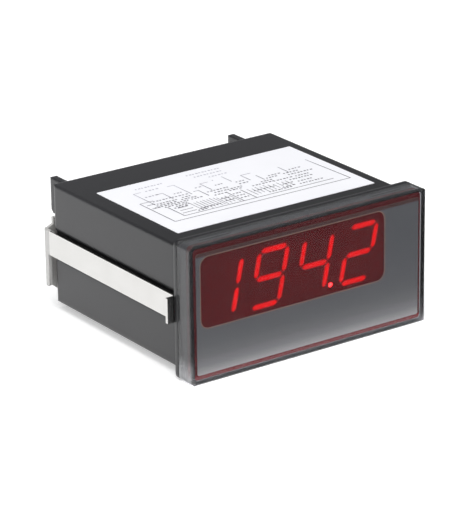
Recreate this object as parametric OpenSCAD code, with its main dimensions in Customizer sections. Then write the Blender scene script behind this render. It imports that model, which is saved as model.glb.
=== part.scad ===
// Digital panel meter, 96 x 48 mm bezel, with a screw-clamped surround bracket.
// Frame: the origin is the centre of the panel cut-out, on the rear face of the flange.
// +X is to the right seen from the front, +Y goes into the panel, +Z is up. Millimetres.

/* [Bezel] */
// Width of the bezel
bezel_w = 96; // [86:0.5:110]
// Height of the bezel
bezel_h = 48; // [43:0.5:56]
// Depth of the bezel in front of the panel
bezel_d = 9.5; // [8.5:0.5:14]
// Corner radius of the bezel
bezel_r = 2.0; // [1.5:0.1:3]
// Radius of the front arris of the clear cap
arris_r = 1.1; // [0.5:0.1:1.5]
// Overhang of the bezel beyond each side of the case
rim_x = 2.25; // [2:0.05:4]
// Overhang of the bezel above and below the case
rim_z = 2.7; // [2.4:0.05:3.1]
// Thickness of the case flange behind the cap
flange_t = 2.1; // [1.5:0.1:3]
// Side wall of the clear cap
cap_wall = 1.7; // [1.3:0.1:2.2]
// Top and bottom wall of the clear cap
cap_wall_z = 1.4; // [1.2:0.1:2.2]
// Front wall of the clear cap
cap_front_t = 1.4; // [1:0.1:2]
// Depth of the four clip ribs that hold the cap
clip_h = 0.35; // [0.2:0.05:0.5]

/* [Case] */
// Length of the case behind the panel
case_len = 76; // [72:1:120]
// Wall of the case
case_wall = 2.2; // [1.8:0.1:2.6]
// Radius of the long edges of the case
case_r = 0.8; // [0.4:0.1:1.4]
// Radius of the upright rear corners of the case
rear_r = 1.6; // [0.8:0.1:2]
// Height of the channel along each side
channel_h = 10.4; // [8:0.2:14]
// Depth of the channel along each side
channel_d = 1.2; // [0.6:0.1:1.4]
// Thickness of the two barrier ears at the rear
ear_t = 2.5; // [1.5:0.1:3]
// Length of the ears behind the case
ear_len = 7.3; // [4:0.1:10]

/* [Display] */
// Thickness of the red filter
filter_t = 2.0; // [1.5:0.1:3]
// Thickness of the printed overlay
overlay_t = 0.25; // [0.15:0.05:0.4]
// Distance of the window from the left edge of the bezel
window_left = 4.5; // [4:0.1:10]
// Distance of the window from the right edge of the bezel
window_right = 17.1; // [8:0.1:24]
// Distance of the window from the top edge of the bezel
window_top = 4.6; // [4.2:0.1:9]
// Distance of the window from the bottom edge of the bezel
window_bottom = 18.9; // [15:0.1:24]
// Corner radius of the window
window_r = 3.2; // [1:0.2:5]
// How far the row of digits stands right of the middle of the window
row_right = 0.55; // [0:0.05:2]
// How far the row of digits stands below the middle of the window
row_below = 1.3; // [0.9:0.05:1.8]
// Gap between the uprights of two neighbouring figures
glyph_gap = 7.1; // [6.5:0.1:9]
// Distance from the end of a digit housing to the middle of its top or bottom segment
glyph_margin = 3.25; // [2.5:0.05:5]
// Lean of the digits in degrees
glyph_lean = 11.8; // [0:0.1:12]
// Width of a segment
seg_w = 2.1; // [1.4:0.1:2.4]
// Depth of a digit housing
housing_d = 10.5; // [8:0.1:12]

/* [Boards] */
// Thickness of the circuit boards
board_t = 1.6; // [1.2:0.1:2]
// Clearance between a board edge and the case
board_gap = 0.25; // [0.15:0.05:0.4]
// Height of the main board above the case floor
board_lift = 4.1; // [3:0.1:6]

/* [Terminals] */
// Distance of the terminal block from the left side of the case
terminal_left = 6.86; // [6.4:0.02:8]
// Distance of the terminal block from the right side of the case
terminal_right = 13.86; // [13:0.02:20]
// Depth of the top of the terminal block below the case top
terminal_drop = 5.1; // [4.4:0.1:5.6]
// Height of the terminal block
terminal_h = 7.8; // [7.6:0.1:8.6]
// Length of the terminal block behind the case
terminal_out = 10.4; // [9:0.1:12]
// Radius of a terminal screw's shank
terminal_screw_r = 1.42; // [1.2:0.02:1.5]

/* [Bracket] */
// Thickness of the bracket sheet
sheet = 1.2; // [0.8:0.1:1.5]
// Height of the side straps
strap_h = 8.7; // [7:0.1:10]
// Gap between a strap and the case side
strap_gap = 0.25; // [0.15:0.05:0.5]
// How far each front foot stands out from its strap
foot_out = 3.2; // [2:0.1:5]
// Gap between a foot and the flange with the bracket fully forward
foot_gap = 0.3; // [0.2:0.1:1]
// Gap between the rear web and the case with the bracket fully forward
web_gap = 3.8; // [2:0.1:5]
// Inside radius of the bends
bend_r = 0.6; // [0.4:0.1:1]
// Length of the returns beside the web
return_len = 3.4; // [3:0.1:6]
// Radius of a clamp screw's shank
clamp_screw_r = 1.5; // [1.25:0.05:2]
// Length of a clamp screw's shank
clamp_screw_len = 13; // [11:0.5:14]

/* [Label] */
// Distance of the label from the left side of the case top
label_left = 6.7; // [3:0.1:20]
// Distance of the label from the right side of the case top
label_right = 3.3; // [3:0.1:20]
// Distance of the label behind the flange
label_front = 10.7; // [4:0.1:16]
// Length of the label on the top
label_len = 49.4; // [30:0.2:56]
// Thickness of the label
label_t = 0.12; // [0.08:0.02:0.2]

/* [Hidden] */
$fn = 48;
eps = 0.01;

// How far a cut runs past the face that it opens
over = 1;

// Bezel planes, from the front to the panel
film_gap = 0.05;
face_gap = 0.65;
front_y = -bezel_d;
cap_in_y = front_y + cap_front_t;
overlay_y = cap_in_y + film_gap;
filter_y = overlay_y + overlay_t + film_gap;
collar_y = filter_y + filter_t;
face_y = collar_y + face_gap;
flange_y = -flange_t;

// Inside of the cap, and the collar, filter and overlay that it holds
cap_in_w = bezel_w - 2 * cap_wall;
cap_in_h = bezel_h - 2 * cap_wall_z;
cap_in_r = 1;
lens_gap = 0.2;
lens_w = cap_in_w - 2 * lens_gap;
lens_h = cap_in_h - 2 * lens_gap;
lens_r = 0.8;
overlay_rim = [0.9, 1.5];
overlay_r = 0.6;
clip_len = 12;
clip_w = 0.9;
clip_gap = 0.1;
clip_in = 13.4;
clip_x = bezel_w / 2 - clip_in;
clip_y = (collar_y + flange_y) / 2;

// Window
window_w = bezel_w - window_left - window_right;
window_h = bezel_h - window_top - window_bottom;
window_x = (window_left - window_right) / 2;
window_z = (window_bottom - window_top) / 2;

// Case
case_w = bezel_w - 2 * rim_x;
case_h = bezel_h - 2 * rim_z;
in_w = case_w - 2 * case_wall;
in_h = case_h - 2 * case_wall;
in_r = 0.6;
rear_in_y = case_len - case_wall;
channel_y = 2.4;
channel_r = 1.2;
floor_z = -in_h / 2;

// Label
label_r = 1;

// Digits. Which of the segments a to g each figure lights, from 0 to 9
FIGURES = [[1,1,1,1,1,1,0], [0,1,1,0,0,0,0], [1,1,0,1,1,0,1], [1,1,1,1,0,0,1], [0,1,1,0,0,1,1],
           [1,0,1,1,0,1,1], [1,0,1,1,1,1,1], [1,1,1,0,0,0,0], [1,1,1,1,1,1,1], [1,1,1,1,0,1,1]];
reading = [1, 9, 4, 2];
point_after = 2;
row_end = 0.6;
row_x = window_x + row_right;
row_z = window_z - row_below;
digit_pitch = (window_w - 2 * row_end) / len(reading);
housing_gap = 0.2;
housing_over = 0.45;
housing_w = digit_pitch - housing_gap;
housing_h = window_h + 2 * housing_over;
glyph_w = digit_pitch - glyph_gap;
glyph_h = housing_h - 2 * glyph_margin;
seg_depth = 6;
seg_gap = 0.35;
point_r = 0.95;
point_out = 2.9;
point_up = 0.8;
pin_r = 0.3;
pin_out = 1.2;
pin_pitch = 2.54;
pin_in = 2.54;
pin_row = housing_h / 2 - pin_in;
digit_pins_a_row = 5;

// Boards
board_w = in_w - 2 * board_gap;
board_h = in_h - 2 * board_gap;
board_r = 1;
end_gap = 0.25;
hole_gap = 0.1;
stand_off = 2.4;
display_y = face_y + housing_d;
display_end = display_y + board_t;
rear_board_y = rear_in_y - stand_off - board_t;
rear_board_end = rear_board_y + board_t;
main_z = floor_z + board_lift;
main_top = main_z + board_t;
main_y = display_end + end_gap;
main_end = rear_board_y - end_gap;
rib = 1.5;
slot_gap = 0.12;

// Headers between the boards
header_n = 12;
header_w = 2.5;
header_in = 1;
header_pin_r = 0.32;
header_x = [for (j = [0:header_n - 1]) (j - (header_n - 1) / 2) * pin_pitch];
header_z = main_top + header_w / 2;
front_pin_y = main_y + header_w / 2 + header_in;
rear_pin_y = main_end - header_w / 2 - header_in;

// Terminal block, its wells and its clamps
terminal_count = 9;
end_wall = 1.1;
block_left = terminal_left - case_w / 2;
block_right = case_w / 2 - terminal_right;
terminal_pitch = (block_right - block_left - 2 * end_wall) / terminal_count;
terminal_top = case_h / 2 - terminal_drop;
terminal_low = terminal_top - terminal_h;
terminal_end = case_len + terminal_out;
block_chamfer = 1.6;
block_floor = 0.8;
groove_w = 0.6;
groove_d = 1.2;
wall_gap = 0.3;
clamp_between = 2.42;
clamp_side = 0.8;
clamp_back = 1.2;
clamp_sill = 0.9;
clamp_roof = 1.5;
clamp_d = 6.0;
clamp_in = 3.2;
clamp_w = terminal_pitch - clamp_between;
clamp_z = terminal_low + block_floor;
clamp_y = terminal_end - clamp_in - clamp_d / 2;
wire_w = clamp_w - 2 * clamp_side;
wire_h = 2.6;
wire_z = clamp_z + clamp_sill;
clamp_top = wire_z + wire_h + clamp_roof;
cavity_gap = 0.1;
screw_fit = 0.08;
screw_bite = 0.4;
terminal_head_r = 1.9;
terminal_head_h = 1.2;
terminal_head_in = 0.3;
terminal_head_end = terminal_top - terminal_head_in;
terminal_head_z = terminal_head_end - terminal_head_h;
terminal_slot = [0.7, 0.8];
well_gap = 0.15;
tail_r = 0.55;
tail_up = 1;
tail_z = clamp_z + tail_up;

// Barrier ears
ear_gap = 0.5;
ear_down = 0.4;
ear_under = 0.2;
ear_top = case_h / 2 - ear_down;
ear_low = terminal_low - ear_under;
ear_cut = 1.1;

// Clamp screws, their inserts and their bosses
clamp_screw_in = 3.05;
clamp_screw_up = 6.4;
clamp_screw_x = in_w / 2 - clamp_screw_in;
clamp_screw_z = main_top + clamp_screw_up;
clamp_hole_gap = 0.2;
clamp_head_r = 2.8;
clamp_head_h = 2.0;
clamp_head_dome = 4.2;
clamp_cross = [3.4, 1.1];
insert_r = 2.3;
insert_len = 6;
insert_fit = 0.05;
boss_r = 4.0;
boss_len = 8;
boss_gap = 0.3;

// Bracket
strap_in = case_w / 2 + strap_gap;
strap_out = strap_in + sheet;
foot_x = strap_out + foot_out;
web_y = case_len + web_gap;
web_end = web_y + sheet;
web_x = strap_in - bend_r;
web_under = 0.8;
web_over = 2.6;
web_corner = 1.1;
web_top = terminal_low - web_under;
web_low = web_over - case_h / 2;
return_rise = 2.4;
return_r = 1;
return_low = web_low + return_rise;
shoulder_in = 1.9;
shoulder_drop = 2.35;
shoulder_x = web_x - shoulder_in;

// Screws of the rear board and their posts on the rear wall, as [x, z]
cross_w = 0.6;
post_r = 1.8;
post_hole_r = 1.2;
post_screw_r = 1.15;
post_screw_in = 3.1;
post_head_r = 2.1;
post_head_h = 1.5;
post_cross = [2.6, 0.8];
post_side = 2.31;
post_down = 3.1;
post_in = 13.55;
post_up = 4.4;
POSTS = [[block_left - post_side, in_h / 2 - post_down], [block_right + post_side, in_h / 2 - post_down],
         [post_in - in_w / 2, main_top + post_up], [in_w / 2 - post_in, main_top + post_up]];

// Calibration trimmer on the rear board
trimmer_in = 3.1;
trimmer_down = 5.5;
trimmer_x = board_w / 2 - trimmer_in;
trimmer_z = in_h / 2 - trimmer_down;
trimmer_w = 4.6;
trimmer_h = 1.7;
trimmer_r = 0.4;
trimmer_floor = 0.6;
trimmer_slot = [2.2, 0.6];
rotor_r = 1.45;
rotor_fit = 0.05;
rotor_out = 0.3;
access_r = 1.7;

// Places on the main board, as distances from one side and from its front or rear end
function front_left(p) = [p[0] - board_w / 2, main_y + p[1]];
function front_right(p) = [board_w / 2 - p[0], main_y + p[1]];
function rear_left(p) = [p[0] - board_w / 2, main_end - p[1]];
function rear_right(p) = [board_w / 2 - p[0], main_end - p[1]];
driver_in = [[5.5, 12.15], [14.5, 12.15]];
driver_at = [front_left(driver_in[0]), front_left(driver_in[1])];
converter_in = [31.3, 11.45];
converter_at = front_right(converter_in);
crystal_in = [12.3, 25.75];
crystal_at = front_right(crystal_in);
resistor_in = [44.3, 24.25];
resistor_at = front_right(resistor_in);
transformer_in = [17.3, 24.55];
transformer_at = rear_left(transformer_in);
capacitor_in = [[35.3, 22.15], [35.3, 9.05]];
capacitor_at = [rear_right(capacitor_in[0]), rear_right(capacitor_in[1])];
diode_in = [23.3, 9.05];
diode_at = rear_right(diode_in);
regulator_in = [12.5, 18.55];
regulator_at = rear_right(regulator_in);

// Transformer: width, depth and height of its core, one outer leg, one winding window
core = [30, 12.5, 25];
core_leg = 5;
core_window = 5;
core_middle = core[0] - 2 * (core_leg + core_window);
coil_out = 5;
coil_r = 1.5;
bobbin_t = 1;
bobbin_over = 0.8;
bobbin_pin_r = 0.6;
bobbin_pin = [3.5, 4];

// Chips: heights of the underside, the parting line and the top, then the bulge and one leg
chip_z = [0.9, 2.3, 3.8];
chip_bulge = 0.2;
chip_leg = [0.5, 0.3];
converter = [40, 13.8];
driver = [16, 6.4];

// Other parts on the main board
crystal_base = [11, 4.8, 0.6];
crystal_can = [10, 3.8, 12];
capacitor_size = [[6.3, 20], [5, 14]];
can_edge = 0.4;
can_groove_z = 2;
can_groove_h = 1;
axial_lift = 0.3;
diode = [5.2, 1.35, 0.4, 9];
diode_pitch = 4.2;
diode_count = 4;
resistor = [6, 1.1, 0.3, 10];
resistor_pitch = 3.4;
resistor_count = 5;
regulator_body = [10, 4.4, 9];
regulator_z = 4;
regulator_leg = [0.8, 0.6];
regulator_leg_y = 2.5;
tab_t = 1.3;
tab_h = 6.5;
tab_hole_r = 1.8;
tab_hole_up = 3.6;
sink = [20, 1.6, 22];
fin_t = 1.6;
fin_len = 6.4;
fin_count = 5;

// ---- Shapes shared by several pieces ----

// Extrudes a profile drawn in x, z from y0 to y1
module along_y(y0, y1)
    translate([0, y1, 0]) rotate([90, 0, 0]) linear_extrude(height = y1 - y0) children();

// Extrudes a profile drawn in y, z from x0 to x1
module along_x(x0, x1)
    translate([x0, 0, 0]) rotate([90, 0, 90]) linear_extrude(height = x1 - x0) children();

// Extrudes a profile drawn in x, y from z0 to z1
module along_z(z0, z1)
    translate([0, 0, z0]) linear_extrude(height = z1 - z0) children();

// A rod along y or z
module rod_y(x, z, y0, y1, r) translate([x, y1, z]) rotate([90, 0, 0]) cylinder(h = y1 - y0, r = r);
module rod_z(x, y, z0, z1, r) translate([x, y, z0]) cylinder(h = z1 - z0, r = r);

// A box between two corners
module block(low, high) translate(low) cube(high - low);

// The same shape on the right and on the left
module both_sides() {
    children();
    mirror([1, 0, 0]) children();
}

// A rectangle centred on the origin with four round corners
module round_rect(w, h, r) {
    square([w - 2 * r, h], center = true);
    square([w, h - 2 * r], center = true);
    for (x = [-1, 1], y = [-1, 1])
        translate([x * (w / 2 - r), y * (h / 2 - r)]) circle(r);
}

// A rectangle of width w from v0 to v1, with its first two corners rounded by r0 and the others by r1
module end_round(w, v0, v1, r0, r1) {
    translate([-w / 2, v0 + r0]) square([w, v1 - v0 - r0 - r1]);
    translate([-w / 2 + r0, v0]) square([w - 2 * r0, r0 + eps]);
    translate([-w / 2 + r1, v1 - r1 - eps]) square([w - 2 * r1, r1 + eps]);
    for (s = [-1, 1]) {
        translate([s * (w / 2 - r0), v0 + r0]) circle(r0);
        translate([s * (w / 2 - r1), v1 - r1]) circle(r1);
    }
}

// A block whose edges along y are rounded by r, its front arris by r0 and its rear arris by r1
module soft_block(w, h, y0, y1, r, r0, r1)
    intersection() {
        along_y(y0, y1) round_rect(w, h, r);
        along_z(-h, h) end_round(w, y0, y1, r0, r1);
        along_x(-w, w) mirror([1, -1]) end_round(h, y0, y1, r0, min(r1, case_r));
    }

// A cross recess, cut d deep into a face at y from the side of lower y
module cross_slot(x, z, y, size)
    for (a = [0, 90]) translate([x, y, z]) rotate([0, a, 0])
        translate([-size[0] / 2, -over, -cross_w / 2]) cube([size[0], size[1] + over, cross_w]);

// ---- Case ----

module case() color("#26272a") difference() {
    union() {
        difference() {
            union() {
                case_outside();
                collar();
            }
            along_y(collar_y - over, rear_in_y) round_rect(in_w, in_h, in_r);
        }
        ears();
        board_slots();
        screw_bosses();
        board_posts();
    }
    both_sides() side_channel();
    both_sides() screw_boss_bore();
    terminal_opening();
    rod_y(trimmer_x, trimmer_z, rear_in_y - over, case_len + over, access_r);
    for (p = POSTS) rod_y(p[0], p[1], rear_in_y - stand_off - over, rear_in_y + over, post_hole_r);
}

// The flange, and the tube behind the panel
module case_outside() {
    along_y(flange_y, 0) round_rect(bezel_w, bezel_h, bezel_r);
    soft_block(case_w, case_h, flange_y, case_len, case_r, eps, rear_r);
}

// The collar that the cap clips over
module collar() {
    along_y(collar_y, flange_y + eps) round_rect(lens_w, lens_h, cap_in_r);
    clip_ribs(0);
}

// Ribs near the four corners of the collar, grown by g on every side for the grooves that take them
module clip_ribs(g)
    for (sx = [-1, 1], sz = [-1, 1])
        translate([sx * clip_x, clip_y, sz * (cap_in_h + clip_h - over) / 2])
            cube([clip_len, clip_w, clip_h + over] + 2 * g * [1, 1, 1], center = true);

// Barrier ears on both sides of the terminal block
module ears()
    for (x = [block_left - ear_gap - ear_t, block_right + ear_gap])
        along_x(x, x + ear_t) polygon([[rear_in_y + eps, ear_top], [case_len + ear_len, ear_top],
            [case_len + ear_len, ear_low + ear_cut], [case_len + ear_len - ear_cut, ear_low],
            [rear_in_y + eps, ear_low]]);

// Ribs along both sides that carry the main board and stop the display board
module board_slots()
    both_sides() for (z = [main_z - slot_gap - rib, main_top + slot_gap])
        block([board_w / 2 - rib, display_end, z], [in_w / 2 + over, main_end, z + rib]);

// Bosses inside the rear wall for the screw inserts
module screw_bosses()
    both_sides() intersection() {
        rod_y(clamp_screw_x, clamp_screw_z, case_len - boss_len, rear_in_y + over, boss_r);
        block([0, 0, -in_h], [in_w / 2 + over, case_len, in_h]);
    }

// The seat of an insert, with the run-out of its screw
module screw_boss_bore() {
    rod_y(clamp_screw_x, clamp_screw_z, case_len - insert_len, case_len + over, insert_r);
    rod_y(clamp_screw_x, clamp_screw_z, case_len - boss_len - over, case_len, clamp_screw_r + boss_gap);
}

// Posts inside the rear wall for the rear board
module board_posts()
    for (p = POSTS) rod_y(p[0], p[1], rear_in_y - stand_off, rear_in_y + over, post_r);

// The channel along one side, open at the rear
module side_channel()
    along_x(case_w / 2 - channel_d, case_w / 2 + over) mirror([1, -1])
        end_round(channel_h, channel_y, case_len + over, channel_r, eps);

// The opening in the rear wall round the terminal block
module terminal_opening()
    block([block_left - wall_gap, rear_in_y - over, terminal_low - wall_gap],
          [block_right + wall_gap, case_len + over, terminal_top + wall_gap]);

// ---- Front ----

module front_cap() color("#c8cdd0") difference() {
    soft_block(bezel_w, bezel_h, front_y, flange_y + over, bezel_r, arris_r, eps);
    block([-bezel_w, flange_y, -bezel_h], [bezel_w, flange_y + 2 * over, bezel_h]);
    along_y(cap_in_y, flange_y + over) round_rect(cap_in_w, cap_in_h, cap_in_r);
    clip_ribs(clip_gap);
}

// Printed film with the window, held between the cap and the filter
module overlay() color("#6b6c6e") along_y(overlay_y, overlay_y + overlay_t) difference() {
    round_rect(lens_w - 2 * overlay_rim[0], lens_h - 2 * overlay_rim[1], overlay_r);
    translate([window_x, window_z]) round_rect(window_w, window_h, window_r);
}

module red_filter() color("#7a1416")
    along_y(filter_y, collar_y) round_rect(lens_w, lens_h, lens_r);

// Data label on the case top
module label() color("#f2f2f4")
    along_z(case_h / 2, case_h / 2 + label_t)
        translate([(label_left - label_right) / 2, label_front + label_len / 2])
            round_rect(case_w - label_left - label_right, label_len, label_r);

// ---- Digits ----

function lean(p) = [p[0] + p[1] * tan(glyph_lean), p[1]];
function digit_x(i) = row_x + (i - (len(reading) - 1) / 2) * digit_pitch;

// A bar from p to q with pointed ends, leaning with the figure
module bar(p, q) {
    d = (q - p) / norm(q - p);
    n = [-d[1], d[0]] * seg_w / 2;
    a = p + d * seg_gap;
    b = q - d * seg_gap;
    t = d * seg_w / 2;
    polygon([for (v = [a, a + t + n, b - t + n, b, b - t - n, a + t - n]) lean(v)]);
}

// Segment k of a digit, from a at the top round to g in the middle, and its point as 7
module segment(k) {
    w = glyph_w / 2;
    h = glyph_h / 2;
    corner = [[-w, h], [w, h], [w, 0], [w, -h], [-w, -h], [-w, 0]];
    if (k < 6) bar(corner[k], corner[(k + 1) % 6]);
    if (k == 6) bar(corner[5], corner[2]);
    if (k == 7) translate([w + point_out - h * tan(glyph_lean), point_up - h]) circle(point_r);
}

function lit(i, k) = k == 7 ? i == point_after : FIGURES[reading[i]][k] == 1;

// Housing i, hollowed for its segments
module digit(i) color("#3a3533") translate([digit_x(i), 0, row_z]) difference() {
    along_y(face_y, display_y) square([housing_w, housing_h], center = true);
    for (k = [0:7]) along_y(face_y - over, face_y + seg_depth) segment(k);
}

// The segments of all digits that are on, or off
module segments(on)
    for (i = [0:len(reading) - 1], k = [0:7])
        if (lit(i, k) == on)
            translate([digit_x(i), 0, row_z]) along_y(face_y, face_y + seg_depth) segment(k);

module lit_segments() color("#ff2a2a") segments(true);
module dark_segments() color("#5a2322") segments(false);

// Places [x, z] of every solder pin of the digits
function digit_pins_at() = [for (i = [0:len(reading) - 1], j = [0:digit_pins_a_row - 1], s = [-1, 1])
    [digit_x(i) + (j - (digit_pins_a_row - 1) / 2) * pin_pitch, row_z + s * pin_row]];

module digit_pins() color("silver")
    for (p = digit_pins_at()) rod_y(p[0], p[1], display_y, display_end + pin_out, pin_r);

// ---- Boards ----

module display_board() color("#2f5a36") difference() {
    along_y(display_y, display_end) round_rect(board_w, board_h, board_r);
    for (p = digit_pins_at()) rod_y(p[0], p[1], display_y - over, display_end + over, pin_r + hole_gap);
    for (x = header_x) rod_y(x, header_z, display_y - over, display_end + over, header_pin_r + hole_gap);
}

module main_board() color("#2f5a36") difference() {
    along_z(main_z, main_top) translate([0, (main_y + main_end) / 2])
        round_rect(board_w, main_end - main_y, board_r);
    for (x = header_x, y = [front_pin_y, rear_pin_y])
        rod_z(x, y, main_z - over, main_top + over, header_pin_r + hole_gap);
}

// The rear board, cut out round the screw bosses
module rear_board() color("#2f5a36") difference() {
    along_y(rear_board_y, rear_board_end) round_rect(board_w, board_h, board_r);
    both_sides()
        block([clamp_screw_x - boss_r - boss_gap, rear_board_y - over, clamp_screw_z - boss_r - boss_gap],
              [board_w, rear_board_end + over, clamp_screw_z + boss_r + boss_gap]);
    for (i = [1:terminal_count]) rear_board_hole(terminal_at(i), tail_z, tail_r);
    for (p = POSTS) rear_board_hole(p[0], p[1], post_screw_r);
    for (x = header_x) rear_board_hole(x, header_z, header_pin_r);
}

// A hole through the rear board for a pin or screw of radius r
module rear_board_hole(x, z, r)
    rod_y(x, z, rear_board_y - over, rear_board_end + over, r + hole_gap);

// Pins of the header at y, bent from the main board towards the board on the side s, -1 or 1
module header_bends(y, s, down, out)
    for (x = header_x) {
        rod_z(x, y, down, header_z, header_pin_r);
        translate([x, y, header_z]) sphere(r = header_pin_r);
        rod_y(x, header_z, min(y, y + s * out), max(y, y + s * out), header_pin_r);
    }

// Body of the header at y
module header(y, s) color("#1c1c1e") difference() {
    block([header_x[0] - pin_pitch / 2, y - header_w / 2, main_top],
          [header_x[header_n - 1] + pin_pitch / 2, y + header_w / 2, main_top + header_w]);
    header_bends(y, s, main_top - over, header_w);
}

module front_header() header(front_pin_y, -1);
module rear_header() header(rear_pin_y, 1);

// Bent pins of both headers, through both of the boards that each joins
module header_pins() color("gold") {
    header_bends(front_pin_y, -1, main_z - pin_out, front_pin_y - display_y + pin_out);
    header_bends(rear_pin_y, 1, main_z - pin_out, rear_board_end + pin_out - rear_pin_y);
}

module board_screws() color("silver") for (p = POSTS) difference() {
    union() {
        rod_y(p[0], p[1], rear_board_y - post_head_h, rear_board_y, post_head_r);
        rod_y(p[0], p[1], rear_board_y - eps, rear_board_end + post_screw_in, post_screw_r);
    }
    cross_slot(p[0], p[1], rear_board_y - post_head_h, post_cross);
}

// ---- Parts on the boards ----

// Stack of E and I laminations, with two windows
module transformer_core() color("#55565a") translate([transformer_at[0], transformer_at[1], main_top])
    along_y(-core[1] / 2, core[1] / 2) translate([0, core[2] / 2]) difference() {
        square([core[0], core[2]], center = true);
        for (s = [-1, 1]) translate([s * (core_middle + core_window) / 2, 0])
            square([core_window, core[2] - 2 * core_leg], center = true);
    }

// A ring round the middle leg that fills both windows and stands d out in front and behind
module leg_ring(d, z0, z1) translate([transformer_at[0], transformer_at[1], main_top])
    along_z(z0, z1) difference() {
        round_rect(core_middle + 2 * core_window, core[1] + 2 * d, coil_r);
        square([core_middle, core[1]], center = true);
    }

module transformer_coil() color("#a5562a")
    leg_ring(coil_out, core_leg + bobbin_t, core[2] - core_leg - bobbin_t);

module transformer_bobbin() color("#d8d2bc") {
    leg_ring(coil_out + bobbin_over, core_leg, core_leg + bobbin_t);
    leg_ring(coil_out + bobbin_over, core[2] - core_leg - bobbin_t, core[2] - core_leg);
    for (s = [-1, 1], j = [-1, 1])
        rod_z(transformer_at[0] + j * bobbin_pin[0], transformer_at[1] + s * (core[1] / 2 + bobbin_pin[1]),
              main_top, main_top + core_leg + eps, bobbin_pin_r);
}

// A dual in-line chip of size [pins, width], its long side turned by a degrees from x
module dual_chip(at, size, a) translate([at[0], at[1], main_top]) rotate([0, 0, a]) {
    row = size[0] / 2;
    w = size[1] / 2;
    along_x(-row * pin_pitch / 2, row * pin_pitch / 2) polygon([[-w, chip_z[0]],
        [-w - chip_bulge, chip_z[1]], [-w, chip_z[2]], [w, chip_z[2]], [w + chip_bulge, chip_z[1]],
        [w, chip_z[0]]]);
    for (j = [0:row - 1], s = [-1, 1])
        translate([(j - (row - 1) / 2) * pin_pitch, s * (w + (chip_bulge + chip_leg[1]) / 2), chip_z[1] / 2])
            cube([chip_leg[0], chip_leg[1], chip_z[1]], center = true);
}

module converter_chip() color("#202022") dual_chip(converter_at, converter, 0);
module driver_chips() color("#202022") for (at = driver_at) dual_chip(at, driver, 90);

module crystal() color("silver") translate([crystal_at[0], crystal_at[1], main_top]) {
    along_z(0, crystal_base[2])
        round_rect(crystal_base[0], crystal_base[1], crystal_base[1] / 2 - eps);
    along_z(crystal_base[2], crystal_base[2] + crystal_can[2])
        round_rect(crystal_can[0], crystal_can[1], crystal_can[1] / 2 - eps);
}

// Cans with a crimped groove near the foot
module capacitors() color("#2b3352") for (i = [0:len(capacitor_at) - 1]) {
    r = capacitor_size[i][0];
    h = capacitor_size[i][1];
    translate([capacitor_at[i][0], capacitor_at[i][1], main_top]) rotate_extrude()
        polygon([[0, 0], [r - can_edge, 0], [r, can_edge], [r, can_groove_z - can_groove_h / 2],
            [r - can_edge, can_groove_z], [r, can_groove_z + can_groove_h / 2], [r, h - can_edge],
            [r - can_edge, h], [0, h]]);
}

// A small part of size [body, its radius, wire radius, span], along y with its wires bent down
module axial(at, size) translate([at[0], at[1], main_top]) {
    z = size[1] + axial_lift;
    rod_y(0, z, -size[0] / 2, size[0] / 2, size[1]);
    rod_y(0, z, -size[3] / 2, size[3] / 2, size[2]);
    for (s = [-1, 1]) {
        translate([0, s * size[3] / 2, z]) sphere(r = size[2]);
        rod_z(0, s * size[3] / 2, 0, z, size[2]);
    }
}

module diodes() color("#2a2a2c")
    for (j = [0:diode_count - 1]) axial(diode_at + [j * diode_pitch, 0], diode);

module resistors() color("#c9a877")
    for (j = [0:resistor_count - 1]) axial(resistor_at + [j * resistor_pitch, 0], resistor);

module regulator() color("#29292b") translate([regulator_at[0], regulator_at[1], main_top]) {
    w = regulator_body[0] / 2;
    top = regulator_z + regulator_body[2];
    block([-w, 0, regulator_z], [w, regulator_body[1], top]);
    difference() {
        block([-w, 0, top - eps], [w, tab_t, top + tab_h]);
        rod_y(0, top + tab_hole_up, -over, tab_t + over, tab_hole_r);
    }
    for (j = [-1:1]) translate([j * pin_pitch, regulator_leg_y, regulator_z / 2])
        cube([regulator_leg[0], regulator_leg[1], regulator_z + eps], center = true);
}

// A plate with upright fins in front of the regulator
module heat_sink() color("#8d9094") translate([regulator_at[0], regulator_at[1], main_top]) {
    block([-sink[0] / 2, -sink[1], 0], [sink[0] / 2, 0, sink[2]]);
    for (j = [0:fin_count - 1])
        translate([-sink[0] / 2 + j * (sink[0] - fin_t) / (fin_count - 1), -sink[1] - fin_len, 0])
            cube([fin_t, fin_len + eps, sink[2]]);
}

module trimmer() color("#e8e6e0") difference() {
    translate([trimmer_x, 0, trimmer_z]) along_y(rear_board_end, rear_board_end + trimmer_h)
        round_rect(trimmer_w, trimmer_w, trimmer_r);
    rod_y(trimmer_x, trimmer_z, rear_board_end + trimmer_floor, rear_in_y, rotor_r + rotor_fit);
}

module trimmer_rotor() color("#b9bcc0") difference() {
    rotor_end = rear_board_end + trimmer_h + rotor_out;
    rod_y(trimmer_x, trimmer_z, rear_board_end + trimmer_floor + rotor_fit, rotor_end, rotor_r);
    translate([0, rotor_end, 0]) mirror([0, 1, 0]) cross_slot(trimmer_x, trimmer_z, 0, trimmer_slot);
}

// ---- Terminals ----

function terminal_at(i) = block_left + end_wall + (i - 0.5) * terminal_pitch;

module terminal_block() color("#c9cbc6") difference() {
    along_x(block_left, block_right)
        polygon([[rear_board_end, terminal_low], [terminal_end, terminal_low],
            [terminal_end, terminal_top - block_chamfer], [terminal_end - block_chamfer, terminal_top],
            [rear_board_end, terminal_top]]);
    for (i = [1:terminal_count]) terminal_hollow(terminal_at(i));
    for (i = [1:terminal_count - 1])
        translate([terminal_at(i) + terminal_pitch / 2 - groove_w / 2, case_len + wall_gap, 0])
            block([0, 0, terminal_top - groove_d], [groove_w, terminal_out + over, terminal_top + over]);
}

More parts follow.
